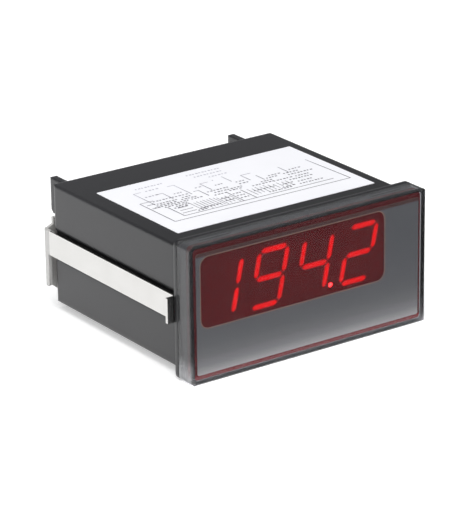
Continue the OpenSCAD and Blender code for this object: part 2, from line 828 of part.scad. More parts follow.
// Room for one clamp, with the wire entry, the screw well and the bore of the solder tail
module terminal_hollow(x) {
    block([x - clamp_w / 2 - cavity_gap, clamp_y - clamp_d / 2 - cavity_gap, clamp_z],
          [x + clamp_w / 2 + cavity_gap, clamp_y + clamp_d / 2 + cavity_gap, clamp_top + cavity_gap]);
    block([x - wire_w / 2, clamp_y, wire_z], [x + wire_w / 2, terminal_end + over, wire_z + wire_h]);
    rod_z(x, clamp_y, clamp_top, terminal_top + over, terminal_head_r + well_gap);
    rod_y(x, tail_z, rear_board_y, clamp_y, tail_r + hole_gap);
}

// Brass cages with their solder tails
module terminal_clamps() color("#c8a24a") for (i = [1:terminal_count]) {
    x = terminal_at(i);
    back = clamp_y - clamp_d / 2;
    difference() {
        union() {
            block([x - clamp_w / 2, back, clamp_z], [x + clamp_w / 2, back + clamp_d, clamp_top]);
            rod_y(x, tail_z, rear_board_y - pin_out, back + eps, tail_r);
        }
        block([x - wire_w / 2, back + clamp_back, wire_z],
              [x + wire_w / 2, back + clamp_d + over, wire_z + wire_h]);
        rod_z(x, clamp_y, wire_z + eps, clamp_top + over, terminal_screw_r + screw_fit);
    }
}

module terminal_screw(i) color("#d5d6d8") difference() {
    x = terminal_at(i);
    union() {
        rod_z(x, clamp_y, wire_z + wire_h - screw_bite, terminal_head_z + eps, terminal_screw_r);
        rod_z(x, clamp_y, terminal_head_z, terminal_head_end, terminal_head_r);
    }
    block([x - clamp_w, clamp_y - terminal_slot[0] / 2, terminal_head_end - terminal_slot[1]],
          [x + clamp_w, clamp_y + terminal_slot[0] / 2, terminal_top]);
}

// ---- Bracket ----

// A quarter of a bend about an upright axis, towards +x and +y by the signs sx and sy
module bend(x, y, sx, sy, z0, z1) intersection() {
    reach = bend_r + sheet + over;
    difference() {
        rod_z(x, y, z0, z1, bend_r + sheet);
        rod_z(x, y, z0 - over, z1 + over, bend_r);
    }
    block([min(x, x + sx * reach), min(y, y + sy * reach), z0 - over],
          [max(x, x + sx * reach), max(y, y + sy * reach), z1 + over]);
}

// One side strap with its foot, its rear bend and the return under it
module strap() {
    foot_end = foot_gap + sheet;
    foot_bend_x = strap_out + bend_r;
    foot_bend_y = foot_end + bend_r;
    block([foot_bend_x - eps, foot_gap, -strap_h / 2], [foot_x, foot_end, strap_h / 2]);
    bend(foot_bend_x, foot_bend_y, -1, -1, -strap_h / 2, strap_h / 2);
    block([strap_in, foot_bend_y - eps, -strap_h / 2], [strap_out, web_y - bend_r + eps, strap_h / 2]);
    bend(web_x, web_y - bend_r, 1, 1, return_low, strap_h / 2);
    along_x(strap_in, strap_out) translate([web_end - return_len, return_low]) difference() {
        square([return_len - sheet - bend_r + eps, -strap_h / 2 - return_low + eps]);
        difference() {
            translate([-return_r, -return_r]) square(2 * return_r);
            translate([return_r, return_r]) circle(return_r);
        }
    }
}

// Web behind the case, with its shoulders beside the straps and two screw holes
module web() along_y(web_y, web_end) difference() {
    polygon(concat(web_edge(), mirrored(web_edge())));
    for (s = [-1, 1]) translate([s * clamp_screw_x, clamp_screw_z]) circle(clamp_screw_r + clamp_hole_gap);
}

function web_edge() = [[shoulder_x - web_corner, web_low], [web_x + eps, return_low],
    [web_x + eps, strap_h / 2], [shoulder_x, web_top - shoulder_drop], [shoulder_x, web_top]];
function mirrored(points) = [for (i = [len(points) - 1:-1:0]) [-points[i][0], points[i][1]]];

module bracket() color("#d9dadc") {
    both_sides() strap();
    web();
}

// Brass inserts in the rear wall of the case
module screw_inserts() color("#c8a24a") both_sides() difference() {
    rod_y(clamp_screw_x, clamp_screw_z, case_len - insert_len, case_len, insert_r);
    rod_y(clamp_screw_x, clamp_screw_z, case_len - insert_len - over, case_len + over,
          clamp_screw_r + insert_fit);
}

// The screw on side s with a domed head
module clamp_screw(s) color("#d5d6d8") difference() {
    union() {
        rod_y(s * clamp_screw_x, clamp_screw_z, web_end - clamp_screw_len, web_end + eps, clamp_screw_r);
        translate([s * clamp_screw_x, web_end, clamp_screw_z]) rotate([-90, 0, 0]) rotate_extrude()
            intersection() {
                square([clamp_head_r, clamp_head_h]);
                translate([0, clamp_head_h - clamp_head_dome]) circle(clamp_head_dome);
            }
    }
    translate([0, web_end + clamp_head_h, 0]) mirror([0, 1, 0])
        cross_slot(s * clamp_screw_x, clamp_screw_z, 0, clamp_cross);
}

case();
front_cap();
overlay();
red_filter();
label();
digit(0);  // digit_1
digit(1);  // digit_2
digit(2);  // digit_3
digit(3);  // digit_4
lit_segments();
dark_segments();
digit_pins();
display_board();
main_board();
rear_board();
front_header();
rear_header();
header_pins();
transformer_core();
transformer_coil();
transformer_bobbin();
converter_chip();
driver_chips();
crystal();
capacitors();
diodes();
resistors();
regulator();
heat_sink();
terminal_block();
terminal_clamps();
terminal_screw(1);  // terminal_screw_1
terminal_screw(2);  // terminal_screw_2
terminal_screw(3);  // terminal_screw_3
terminal_screw(4);  // terminal_screw_4
terminal_screw(5);  // terminal_screw_5
terminal_screw(6);  // terminal_screw_6
terminal_screw(7);  // terminal_screw_7
terminal_screw(8);  // terminal_screw_8
terminal_screw(9);  // terminal_screw_9
board_screws();
trimmer();
trimmer_rotor();
bracket();
screw_inserts();
clamp_screw(-1);  // clamp_screw_left
clamp_screw(1);  // clamp_screw_right
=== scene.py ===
"""Looks of a panel-mounted digital meter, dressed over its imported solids.

The case, clear cap, film, filter, digits, boards, terminals and bracket keep their solids and get their
finishes here. The data label is cut anew and gets its printed lines, and the line round the display window
is added. Lengths in the classes are millimetres where no other unit is given, and meshes are in metres.
"""

from __future__ import annotations

import logging
import math
from abc import ABC, abstractmethod
from dataclasses import dataclass, field
from enum import Enum

import bmesh
import bpy
from mathutils import Matrix, Vector


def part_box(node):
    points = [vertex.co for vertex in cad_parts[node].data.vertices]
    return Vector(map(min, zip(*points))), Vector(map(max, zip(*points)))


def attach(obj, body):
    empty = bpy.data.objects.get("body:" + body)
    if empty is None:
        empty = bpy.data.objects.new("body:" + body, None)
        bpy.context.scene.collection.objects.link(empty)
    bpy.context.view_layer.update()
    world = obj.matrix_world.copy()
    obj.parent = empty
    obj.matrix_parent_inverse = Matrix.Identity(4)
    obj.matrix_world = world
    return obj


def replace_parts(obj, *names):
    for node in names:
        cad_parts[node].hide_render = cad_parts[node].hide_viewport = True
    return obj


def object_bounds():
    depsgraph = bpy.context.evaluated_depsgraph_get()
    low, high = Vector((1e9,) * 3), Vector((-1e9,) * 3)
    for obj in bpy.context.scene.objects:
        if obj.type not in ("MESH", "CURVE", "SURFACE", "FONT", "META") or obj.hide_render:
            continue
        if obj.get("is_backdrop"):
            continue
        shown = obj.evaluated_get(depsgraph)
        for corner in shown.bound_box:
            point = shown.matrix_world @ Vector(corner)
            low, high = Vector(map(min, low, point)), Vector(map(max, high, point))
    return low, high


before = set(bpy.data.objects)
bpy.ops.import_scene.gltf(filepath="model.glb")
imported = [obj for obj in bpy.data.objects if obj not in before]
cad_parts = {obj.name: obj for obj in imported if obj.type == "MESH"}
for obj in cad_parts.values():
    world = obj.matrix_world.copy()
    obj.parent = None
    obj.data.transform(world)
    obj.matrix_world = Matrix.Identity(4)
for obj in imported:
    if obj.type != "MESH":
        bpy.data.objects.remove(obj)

log = logging.getLogger("panel_meter")

MM = 0.001
# Body that the pieces made here ride on.
BODY = "meter"
# Share of a height pattern that reaches the normal.
BUMP_STRENGTH = 0.6
# Rays that look for an edge near a point.
EDGE_RAYS = 8
# Length that one wave of the wave texture covers at a scale of one.
WAVE_LENGTH = math.pi / 10

Point = tuple[float, float]
Triple = tuple[float, float, float]
Colour = tuple[float, float, float, float]
Ring = list[bmesh.types.BMVert]
# What feeds a node: an output, or a node for its first output.
Source = bpy.types.Node | bpy.types.NodeSocket


class Slot(Enum):
    """Names of two material slots, which no piece made here is given."""

    LABEL = "label_white"
    OVERLAY = "overlay_grey"


class Across(Enum):
    """Axis across the bands of a stack or a winding."""

    DEPTH = "Y"
    HEIGHT = "Z"


# ---- Colours and nodes ----


def linear(hex_colour: str) -> Colour:
    """Turns an sRGB hex colour into the linear colour that shaders use.

    Args:
        hex_colour: Six hex digits after a hash sign.

    Returns:
        Red, green, blue and an alpha of one.
    """
    parts = [int(hex_colour[i : i + 2], 16) / 255 for i in (1, 3, 5)]
    red, green, blue = (p / 12.92 if p <= 0.04045 else ((p + 0.055) / 1.055) ** 2.4 for p in parts)
    return (red, green, blue, 1.0)


@dataclass(frozen=True)
class Canvas:
    """A node tree that is being filled.

    Attributes:
        tree: The node tree.
        shader: Its node that the looks are fed to.
    """

    tree: bpy.types.NodeTree
    shader: bpy.types.Node

    def add(self, kind: str, links: dict[str, Source] | None = None, **settings: object) -> bpy.types.Node:
        """Adds a node with its settings and its links.

        Args:
            kind: The node's type name, without the word that all shader nodes begin with.
            links: Input name to what feeds it. A number as text picks an input by its place.
            **settings: Node properties, or values of inputs with underscores in place of spaces. An
                underscore and a number pick an input by its place.

        Returns:
            The new node.
        """
        node = self.tree.nodes.new(f"ShaderNode{kind}")
        for name, value in settings.items():
            if name in node.bl_rna.properties:
                setattr(node, name, value)
            else:
                key = int(name[1:]) if name[1:].isdigit() else name.replace("_", " ")
                node.inputs[key].default_value = value
        for name, source in (links or {}).items():
            self.link(source, node.inputs[int(name) if name.isdigit() else name])
        return node

    def link(self, source: Source, target: bpy.types.NodeSocket) -> None:
        """Links a source to an input."""
        self.tree.links.new(source.outputs[0] if isinstance(source, bpy.types.Node) else source, target)

    def feed(self, source: Source, name: str) -> None:
        """Links a source to an input of the shader by its name."""
        self.link(source, self.shader.inputs[name])

    def place(self, stretch: Triple = (1, 1, 1)) -> bpy.types.Node:
        """Gives object coordinates in millimetres.

        Args:
            stretch: Factor on each axis, below one to draw a pattern out along it.

        Returns:
            The node, whose first output is the vector.
        """
        coords = self.add("TexCoord").outputs["Object"]
        return self.add("Mapping", {"Vector": coords}, Scale=tuple(s / MM for s in stretch))


# ---- Finishes ----


@dataclass(frozen=True)
class Finish(ABC):
    """A surface finish: what the thing is made of and how its surface was made.

    Attributes:
        name: The material's name.
        colour: sRGB hex colour of the surface.
        roughness: Microscopic roughness of the surface.
    """

    name: str
    colour: str
    roughness: float

    def material(self) -> bpy.types.Material:
        """Makes this finish's material at its first use.

        Returns:
            The material.
        """
        found = bpy.data.materials.get(self.name)
        if found is not None:
            return found
        made = bpy.data.materials.new(self.name)
        made.use_nodes = True
        made.diffuse_color = linear(self.colour)
        shader = made.node_tree.nodes["Principled BSDF"]
        shader.inputs["Base Color"].default_value = linear(self.colour)
        shader.inputs["Roughness"].default_value = self.roughness
        self.dress(Canvas(made.node_tree, shader))
        return made

    @abstractmethod
    def dress(self, canvas: Canvas) -> None:
        """Adds the finish's own nodes.

        Args:
            canvas: The material's nodes.
        """

    def drift(self, canvas: Canvas, pattern: Source, shade: str) -> None:
        """Lets the colour drift with a pattern from a second colour to the finish's own.

        Args:
            canvas: The material's nodes.
            pattern: What gives 0 at the second colour and 1 at the finish's own.
            shade: The second colour.
        """
        low, high = linear(shade), linear(self.colour)
        mixed = canvas.add("Mix", {"0": pattern}, data_type="RGBA", _6=low, _7=high)
        canvas.feed(mixed.outputs[2], "Base Color")

    def roughen(self, canvas: Canvas, pattern: Source, spread: Point) -> None:
        """Lets the roughness vary with a pattern.

        Args:
            canvas: The material's nodes.
            pattern: What runs from 0 to 1.
            spread: How far the roughness falls and rises from the finish's own.
        """
        low, high = self.roughness - spread[0], self.roughness + spread[1]
        rough = canvas.add("MapRange", {"Value": pattern}, To_Min=low, To_Max=high)
        canvas.feed(rough, "Roughness")

    def emboss(self, canvas: Canvas, pattern: Source, depth_mm: float) -> bpy.types.Node:
        """Raises the surface with a pattern.

        Args:
            canvas: The material's nodes.
            pattern: What runs from 0 to 1.
            depth_mm: Height of the pattern.

        Returns:
            The bump node.
        """
        raised = canvas.add("Bump", {"Height": pattern}, Strength=BUMP_STRENGTH, Distance=depth_mm * MM)
        canvas.feed(raised, "Normal")
        return raised


@dataclass(frozen=True)
class MouldedPlastic(Finish):
    """Injection-moulded plastic with a spark-eroded grain and faint flow marks, or a painted shade along Y
    in their place.

    Attributes:
        shade: Second colour that the flow marks drift to, or the painted shade at the front end of
            painted_shade_mm.
        grain_mm: Width of the mould's grain, drawn coarser than the real 0.05 mm so that it shows.
        grain_depth_mm: Depth of the grain.
        grain_spread: How far the grain lowers and raises the roughness.
        flow_mm: Size of the flow marks.
        painted_shade_mm: Places along Y between which a painted shade, darker at the front, gives way to
            the colour in place of the flow marks; none where they are equal.
        edge_mm: Radius to which moulding rounds the edges, for the eye alone.
    """

    shade: str = "#000000"
    grain_mm: float = 0.4
    grain_depth_mm: float = 0.01
    grain_spread: Point = (0.04, 0.06)
    flow_mm: float = 26.0
    painted_shade_mm: Point = (0.0, 0.0)
    edge_mm: float = 0.0

    def dress(self, canvas: Canvas) -> None:
        """Adds flow marks or a painted shade along Y to the colour, and grain to the normal and roughness.

        Args:
            canvas: The material's nodes.
        """
        place = canvas.place()
        near, far = self.painted_shade_mm
        if near == far:
            share = canvas.add("TexNoise", {"Vector": place}, Scale=1 / self.flow_mm, Detail=2.0)
        else:
            # Painted shade: darker at the front, lighter towards the rear.
            along = canvas.add("SeparateXYZ", {"Vector": place}).outputs["Y"]
            share = canvas.add("MapRange", {"Value": along}, From_Min=near, From_Max=far)
        self.drift(canvas, share, self.shade)
        grain = canvas.add("TexNoise", {"Vector": place}, Scale=1 / self.grain_mm, Detail=3.0)
        self.roughen(canvas, grain, self.grain_spread)
        grained = self.emboss(canvas, grain, self.grain_depth_mm)
        if self.edge_mm:
            rounded = canvas.add("Bevel", samples=EDGE_RAYS, Radius=self.edge_mm * MM)
            canvas.link(rounded, grained.inputs["Normal"])


@dataclass(frozen=True)
class ClearPlastic(Finish):
    """Polished transparent plastic that lets lamps through.

    Attributes:
        ior: Refractive index.
        haze: Share of light that the faces across Y scatter.
        side_haze: Share of light that the other faces scatter.
        skin: Half width and height beyond which the other faces scatter.
        rim_light_haze: The same share in the lowest and in the highest rim of the faces across Y; where it
            is above haze, painted light that enters at the edges.
        rim_mm: Half height at which those rims begin.
        foot_mm: Heights between which the side faces scatter more towards the foot, as painted light from
            the pale floor below.
        foot_light_gain: How many times more they scatter there.
        glint: Strength of the reflections, below one where the face is coated.
        edge_glint: The same strength beyond the skin, where there is one.
        wave_mm: Length of the slow waves that moulding leaves in the surface.
        wave_depth_mm: Depth of those waves.
        streak_mm: Width of the streaks in the side faces' haze.
        streak_stretch: Stretch of the streaks on each axis.
        streak_low: Share of the haze that is left between two streaks.
        hairline_stretch: Stretch of the fine rubbed lines, 1 mm apart, on each axis.
    """

    ior: float = 1.49
    haze: float = 0.0
    side_haze: float = 0.0
    skin: Point = (0.0, 0.0)
    rim_light_haze: Point = (0.0, 0.0)
    rim_mm: float = 20.9
    foot_mm: Point = (-15.0, -21.0)
    foot_light_gain: float = 7.5
    glint: float = 1.0
    edge_glint: float = 0.7
    wave_mm: float = 9.0
    wave_depth_mm: float = 0.02
    streak_mm: float = 1.6
    streak_stretch: Triple = (0.25, 1.0, 0.25)
    streak_low: float = 0.1
    hairline_stretch: Triple = (0.1, 0.1, 1.0)

    def dress(self, canvas: Canvas) -> None:
        """Sets the transmission and adds haze, slow waves and fine hairlines.

        Args:
            canvas: The material's nodes.
        """
        canvas.shader.inputs["IOR"].default_value = self.ior
        canvas.shader.inputs["Specular Tint"].default_value = (self.glint, self.glint, self.glint, 1.0)
        place = canvas.place()
        if any(self.skin):
            beyond = self.outside(canvas, place)
            glints = canvas.add("MapRange", {"Value": beyond}, To_Min=self.glint, To_Max=self.edge_glint)
            canvas.feed(glints, "Specular Tint")
        self.cloud(canvas, place)
        wave = canvas.add("TexNoise", {"Vector": place}, Scale=1 / self.wave_mm, Detail=1.0)
        self.emboss(canvas, wave, self.wave_depth_mm)
        drawn = canvas.place(self.hairline_stretch)
        rubbed = canvas.add("TexNoise", {"Vector": drawn}, Scale=1.0, Detail=4.0)
        self.roughen(canvas, rubbed, (self.roughness / 2, self.roughness / 2))
        shadow = canvas.add("LightPath").outputs["Is Shadow Ray"]
        lamps = canvas.add("BsdfTransparent", Color=linear(self.colour))
        seen = canvas.add("MixShader", {"0": shadow, "1": canvas.shader, "2": lamps})
        canvas.link(seen, canvas.tree.nodes["Material Output"].inputs["Surface"])

    def cloud(self, canvas: Canvas, place: bpy.types.Node) -> None:
        """Lets the faces scatter their shares of the light, and the rest pass.

        Args:
            canvas: The material's nodes.
            place: Node that gives object coordinates in millimetres.
        """
        normal = canvas.add("TexCoord").outputs["Normal"]
        facing = canvas.add("SeparateXYZ", {"Vector": normal}).outputs["Y"]
        front = canvas.add("Math", {"0": facing}, operation="ABSOLUTE")
        side = canvas.add("MapRange", {"Value": front}, To_Min=1.0, To_Max=0.0)
        height = canvas.add("SeparateXYZ", {"Vector": place}).outputs["Z"]

        drawn = canvas.place(self.streak_stretch)
        streaks = canvas.add("TexNoise", {"Vector": drawn}, Scale=1 / self.streak_mm, Detail=3.0)
        least, most = self.streak_low * self.side_haze, (2 - self.streak_low) * self.side_haze
        uneven = canvas.add("MapRange", {"Value": streaks}, To_Min=least, To_Max=most)
        beyond = self.outside(canvas, place)
        outer = canvas.add("Math", {"0": beyond, "1": uneven}, operation="MULTIPLY")
        # Painted light from the pale floor: the side faces scatter more towards the foot.
        begin, end = self.foot_mm
        foot = canvas.add(
            "MapRange", {"Value": height}, From_Min=begin, From_Max=end, To_Min=1.0, To_Max=self.foot_light_gain
        )
        grown = canvas.add("Math", {"0": outer, "1": foot}, operation="MULTIPLY")
        sides = canvas.add("Math", {"0": grown, "1": side}, operation="MULTIPLY")

        # Painted light entering at the edges: the lowest and highest rims of the faces across Y scatter
        # their own shares.
        low = canvas.add("Math", {"0": height}, operation="LESS_THAN", _1=-self.rim_mm)
        high = canvas.add("Math", {"0": height}, operation="GREATER_THAN", _1=self.rim_mm)
        low_haze, high_haze = self.rim_light_haze
        lower = canvas.add("MapRange", {"Value": low}, To_Min=self.haze, To_Max=low_haze)
        upper = canvas.add("MapRange", {"Value": high}, To_Max=high_haze - self.haze)
        flat = canvas.add("Math", {"0": lower, "1": upper}, operation="ADD")
        faces = canvas.add("Math", {"0": front, "1": flat}, operation="MULTIPLY")

        total = canvas.add("Math", {"0": sides, "1": faces}, operation="ADD")
        clear = canvas.add("MapRange", {"Value": total}, To_Min=1.0, To_Max=0.0)
        canvas.feed(clear, "Transmission Weight")

    def outside(self, canvas: Canvas, place: bpy.types.Node) -> bpy.types.Node:
        """Gives one outside the skin's half width and height, and zero inside.

        Args:
            canvas: The material's nodes.
            place: Node that gives object coordinates in millimetres.

        Returns:
            The node.
        """
        parts = canvas.add("SeparateXYZ", {"Vector": place})
        beyond = []
        for axis, limit in zip("XZ", self.skin):
            size = canvas.add("Math", {"0": parts.outputs[axis]}, operation="ABSOLUTE")
            beyond.append(canvas.add("Math", {"0": size}, operation="GREATER_THAN", _1=limit))
        return canvas.add("Math", {"0": beyond[0], "1": beyond[1]}, operation="MAXIMUM")


@dataclass(frozen=True)
class PrintedFilm(Finish):
    """Polyester film printed from behind with a metallic ink, lightened from top to bottom by a painted
    reflection of the pale floor, with a painted shade along its top edge.

    Attributes:
        fade: Heights in millimetres from the top down, each with the colour there; lighter towards the
            bottom as a painted reflection of the pale floor.
        shade_band_colour: Colour of the painted shade along the top edge, where the cap's top wall shades
            the film.
        band_mm: Height at which that band begins.
        band_soft_mm: Half the height over which it begins.
        sparkle_mm: Size of the ink's flakes, drawn coarse so that they show.
        sparkle: How far the flakes lower and raise the brightness.
    """

    fade: tuple[tuple[float, str], ...] = ((20.0, "#808080"), (-20.0, "#ffffff"))
    shade_band_colour: str = "#000000"
    band_mm: float = 19.7
    band_soft_mm: float = 0.3
    sparkle_mm: float = 0.25
    sparkle: float = 0.1

    def dress(self, canvas: Canvas) -> None:
        """Adds the fade of painted reflection, the band of painted shade and the flakes.

        Args:
            canvas: The material's nodes.
        """
        place = canvas.place()
        height = canvas.add("SeparateXYZ", {"Vector": place}).outputs["Z"]
        # Painted reflection of the pale floor: lighter towards the bottom.
        top, bottom = self.fade[0][0], self.fade[-1][0]
        down = canvas.add("MapRange", {"Value": height}, From_Min=top, From_Max=bottom)
        ramp = canvas.add("ValToRGB", {"Fac": down})
        for _ in self.fade[2:]:
            ramp.color_ramp.elements.new(0.5)
        for stop, (level, colour) in zip(ramp.color_ramp.elements, self.fade):
            stop.position = (top - level) / (top - bottom)
            stop.color = linear(colour)
        # Painted shade along the top edge, under the cap's top wall.
        begin, end = self.band_mm - self.band_soft_mm, self.band_mm + self.band_soft_mm
        band = canvas.add("MapRange", {"Value": height}, From_Min=begin, From_Max=end)
        dark = linear(self.shade_band_colour)
        shaded = canvas.add("Mix", {"0": band, "6": ramp}, data_type="RGBA", _7=dark)
        flakes = canvas.add("TexNoise", {"Vector": place}, Scale=1 / self.sparkle_mm, Detail=1.0)
        dim, bright = 1 - self.sparkle, 1 + self.sparkle
        sparkle = canvas.add("MapRange", {"Value": flakes}, To_Min=dim, To_Max=bright)
        links = {"0": shaded.outputs[2], "Scale": sparkle}
        printed = canvas.add("VectorMath", links, operation="SCALE")
        canvas.feed(printed, "Base Color")


@dataclass(frozen=True)
class Metal(Finish):
    """Bare or plated metal, with the fine lines that rolling, turning or brushing leaves.

    Attributes:
        shade: Second colour of the slow clouding.
        cloud_mm: Size of the clouding.
        line_mm: Spacing of the lines, drawn coarser than the real 0.05 mm so that they show.
        along: Stretch on each axis, smallest along the lines.
        line_depth_mm: Depth of the lines.
        line_spread: How far the lines lower and raise the roughness.
        matt_share: Share of light that the matt end scatters.
        matt_from_mm: Place along Y behind which the surface is matt.
    """

    shade: str = "#808080"
    cloud_mm: float = 7.0
    line_mm: float = 0.25
    along: Triple = (1.0, 0.04, 1.0)
    line_depth_mm: float = 0.002
    line_spread: Point = (0.06, 0.08)
    matt_share: float = 0.0
    matt_from_mm: float = 0.0

    def dress(self, canvas: Canvas) -> None:
        """Makes it metal and adds clouding and lines.

        Args:
            canvas: The material's nodes.
        """
        canvas.shader.inputs["Metallic"].default_value = 1.0
        place = canvas.place()
        if self.matt_share:
            depth = canvas.add("SeparateXYZ", {"Vector": place}).outputs["Y"]
            behind = canvas.add("Math", {"0": depth}, operation="GREATER_THAN", _1=self.matt_from_mm)
            bare = 1.0 - self.matt_share
            shine = canvas.add("MapRange", {"Value": behind}, To_Min=1.0, To_Max=bare)
            canvas.feed(shine, "Metallic")
        cloud = canvas.add("TexNoise", {"Vector": place}, Scale=1 / self.cloud_mm, Detail=3.0)
        self.drift(canvas, cloud, self.shade)
        drawn = canvas.place(self.along)
        lines = canvas.add("TexNoise", {"Vector": drawn}, Scale=1 / self.line_mm, Detail=2.0)
        self.roughen(canvas, lines, self.line_spread)
        self.emboss(canvas, lines, self.line_depth_mm)


@dataclass(frozen=True)
class Paper(Finish):
    """Coated label stock with a faint fibre tooth.

    Attributes:
        shade: Second colour of the slight toning.
        tone_mm: Size of the toning.
        tooth_mm: Width of the fibre tooth.
        tooth_depth_mm: Depth of the tooth.
    """

    shade: str = "#eeeef2"
    tone_mm: float = 20.0
    tooth_mm: float = 0.3
    tooth_depth_mm: float = 0.004

    def dress(self, canvas: Canvas) -> None:
        """Adds the tooth and slight toning.

        Args:
            canvas: The material's nodes.
        """
        place = canvas.place()
        tooth = canvas.add("TexNoise", {"Vector": place}, Scale=1 / self.tooth_mm, Detail=2.0)
        self.emboss(canvas, tooth, self.tooth_depth_mm)
        tone = canvas.add("TexNoise", {"Vector": place}, Scale=1 / self.tone_mm)
        self.drift(canvas, tone, self.shade)


@dataclass(frozen=True)
class Ink(Finish):
    """Printing ink, a little uneven from the plate.

    Attributes:
        worn: Colour where the ink is thin.
        patch_mm: Size of the thin places.
        faded: Colour to which the ink pales at the far end, or none.
        fade_mm: Places along Y between which it bleaches.
    """

    worn: str = "#ffffff"
    patch_mm: float = 2.5
    faded: str = ""
    fade_mm: Point = (0.0, 1.0)

    def dress(self, canvas: Canvas) -> None:
        """Adds the uneven inking.

        Args:
            canvas: The material's nodes.
        """
        place = canvas.place()
        patch = canvas.add("TexNoise", {"Vector": place}, Scale=1 / self.patch_mm, Detail=3.0)
        thin, full = linear(self.worn), linear(self.colour)
        inked = canvas.add("Mix", {"0": patch}, data_type="RGBA", _6=thin, _7=full).outputs[2]
        if self.faded:
            along = canvas.add("SeparateXYZ", {"Vector": place}).outputs["Y"]
            near, far = self.fade_mm
            gone = canvas.add("MapRange", {"Value": along}, From_Min=near, From_Max=far)
            pale = linear(self.faded)
            inked = canvas.add("Mix", {"0": gone, "6": inked}, data_type="RGBA", _7=pale).outputs[2]
        canvas.feed(inked, "Base Color")


@dataclass(frozen=True)
class LitDiffuser(Finish):
    """Cast epoxy light pipe over a lit die, brighter in the middle of its width.

    Attributes:
        glow: Colour of the light.
        power: Strength of the light.
        spot_mm: Size of the brighter patches.
        spot_swing: How far the patches lower and raise the light, as a share of the power.
        hot_glow: Colour of the light of a spot that shines more.
        hot_at: Place [x, z] of that spot.
        hot_radius: Radius of that spot.
        hot_reach: Radius at which its extra light ends, in its own radii.
        hot_share: How much more it shines, as a share of the power.
        soft_mm: Width of the edge over which the light fades.
        soft_from: Agreement of the softened normal with the true one at the very edge.
        edge_share: Share of the light that is left at the very edge.
        core_share: Share of the light in the middle.
    """

    glow: str = "#ff0000"
    power: float = 1.0
    spot_mm: float = 6.0
    spot_swing: float = 0.25
    hot_glow: str = "#ff0000"
    hot_at: Point = (0.0, 0.0)
    hot_radius: float = 1.0
    hot_reach: float = 1.2
    hot_share: float = 1.0
    soft_mm: float = 1.2
    soft_from: float = 0.75
    edge_share: float = 0.22
    core_share: float = 1.25

    def dress(self, canvas: Canvas) -> None:
        """Adds the glow and its unevenness.

        Args:
            canvas: The material's nodes.
        """
        place = canvas.place()
        spots = canvas.add("TexNoise", {"Vector": place}, Scale=1 / self.spot_mm)
        weak, strong = self.power * (1 - self.spot_swing), self.power * (1 + self.spot_swing)
        strength = canvas.add("MapRange", {"Value": spots}, To_Min=weak, To_Max=strong)
        parts = canvas.add("SeparateXYZ", {"Vector": place})
        flat = canvas.add("CombineXYZ", {"X": parts.outputs["X"], "Z": parts.outputs["Z"]})
        middle = (self.hot_at[0], 0.0, self.hot_at[1])
        away = canvas.add("VectorMath", {"0": flat}, operation="DISTANCE", _1=middle)
        reach = self.hot_radius * self.hot_reach
        hot = canvas.add(
            "MapRange", {"Value": away.outputs["Value"]}, From_Min=reach, From_Max=self.hot_radius
        )
        cool, warm = linear(self.glow), linear(self.hot_glow)
        colour = canvas.add("Mix", {"0": hot}, data_type="RGBA", _6=cool, _7=warm)
        canvas.feed(colour.outputs[2], "Emission Color")
        added = canvas.add("MapRange", {"Value": hot}, To_Max=self.power * self.hot_share)
        total = canvas.add("Math", {"0": strength, "1": added}, operation="ADD")
        shed = canvas.add("Math", {"0": total, "1": self.core(canvas)}, operation="MULTIPLY")
        canvas.feed(shed, "Emission Strength")

    def core(self, canvas: Canvas) -> bpy.types.Node:
        """Gives the share of light, which falls from the middle of the bar towards its edges.

        Args:
            canvas: The material's nodes.

        Returns:
            The node.
        """
        rounded = canvas.add("Bevel", samples=EDGE_RAYS, Radius=self.soft_mm * MM)
        flat = canvas.add("NewGeometry").outputs["True Normal"]
        agree = canvas.add("VectorMath", {"0": rounded, "1": flat}, operation="DOT_PRODUCT")
        return canvas.add(
            "MapRange",
            {"Value": agree.outputs["Value"]},
            From_Min=self.soft_from,
            From_Max=1.0,
            To_Min=self.edge_share,
            To_Max=self.core_share,
        )


@dataclass(frozen=True)
class Banded(Finish):
    """A stack or a winding: fine bands side by side.

    Attributes:
        gap: Colour between the bands.
        pitch_mm: Distance from one band to the next.
        axis: Axis across the bands.
        metallic: Share of bare metal.
        waver: How far the bands waver.
        depth_mm: Depth of the gaps between them.
    """

    gap: str = "#000000"
    pitch_mm: float = 0.5
    axis: Across = Across.DEPTH
    metallic: float = 0.0
    waver: float = 0.3
    depth_mm: float = 0.05

    def dress(self, canvas: Canvas) -> None:
        """Adds the bands to the colour and the normal.

        Args:
            canvas: The material's nodes.
        """
        bands = canvas.add(
            "TexWave",
            {"Vector": canvas.place()},
            bands_direction=self.axis.value,
            Scale=WAVE_LENGTH / self.pitch_mm,
            Distortion=self.waver,
        )
        self.drift(canvas, bands.outputs["Fac"], self.gap)
        canvas.shader.inputs["Metallic"].default_value = self.metallic
        self.emboss(canvas, bands.outputs["Fac"], self.depth_mm)


# ABS, moulded in a spark-eroded tool: a soft sheen that lifts where the light grazes it, and a painted
# shade that darkens it towards the front.
CASE_ABS = MouldedPlastic(
    "black_abs_moulded", "#353537", 0.3, shade="#28282a", painted_shade_mm=(0.0, 76.0), edge_mm=1.4
)
# Polycarbonate, moulded clear and polished: glassy, with bright lines along its edges, a faint haze on its
# front as painted reflection, and a foot that scatters more as painted light from the pale floor below.
CLEAR_POLYCARBONATE = ClearPlastic(
    "clear_polycarbonate_polished",
    "#eeeff2",
    0.03,
    haze=0.015,
    side_haze=0.055,
    skin=(47.0, 23.3),
    rim_light_haze=(0.055, 0.015),
    glint=0.12,
)
# Acrylic, cast red: lets the red of the segments through and holds back the rest; its lowest rim scatters
# more as painted light that enters at the edges.
RED_ACRYLIC = ClearPlastic(
    "red_acrylic_cast", "#a3161f", 0.04, haze=0.34, side_haze=0.1, rim_light_haze=(0.85, 0.3), glint=0.06
)
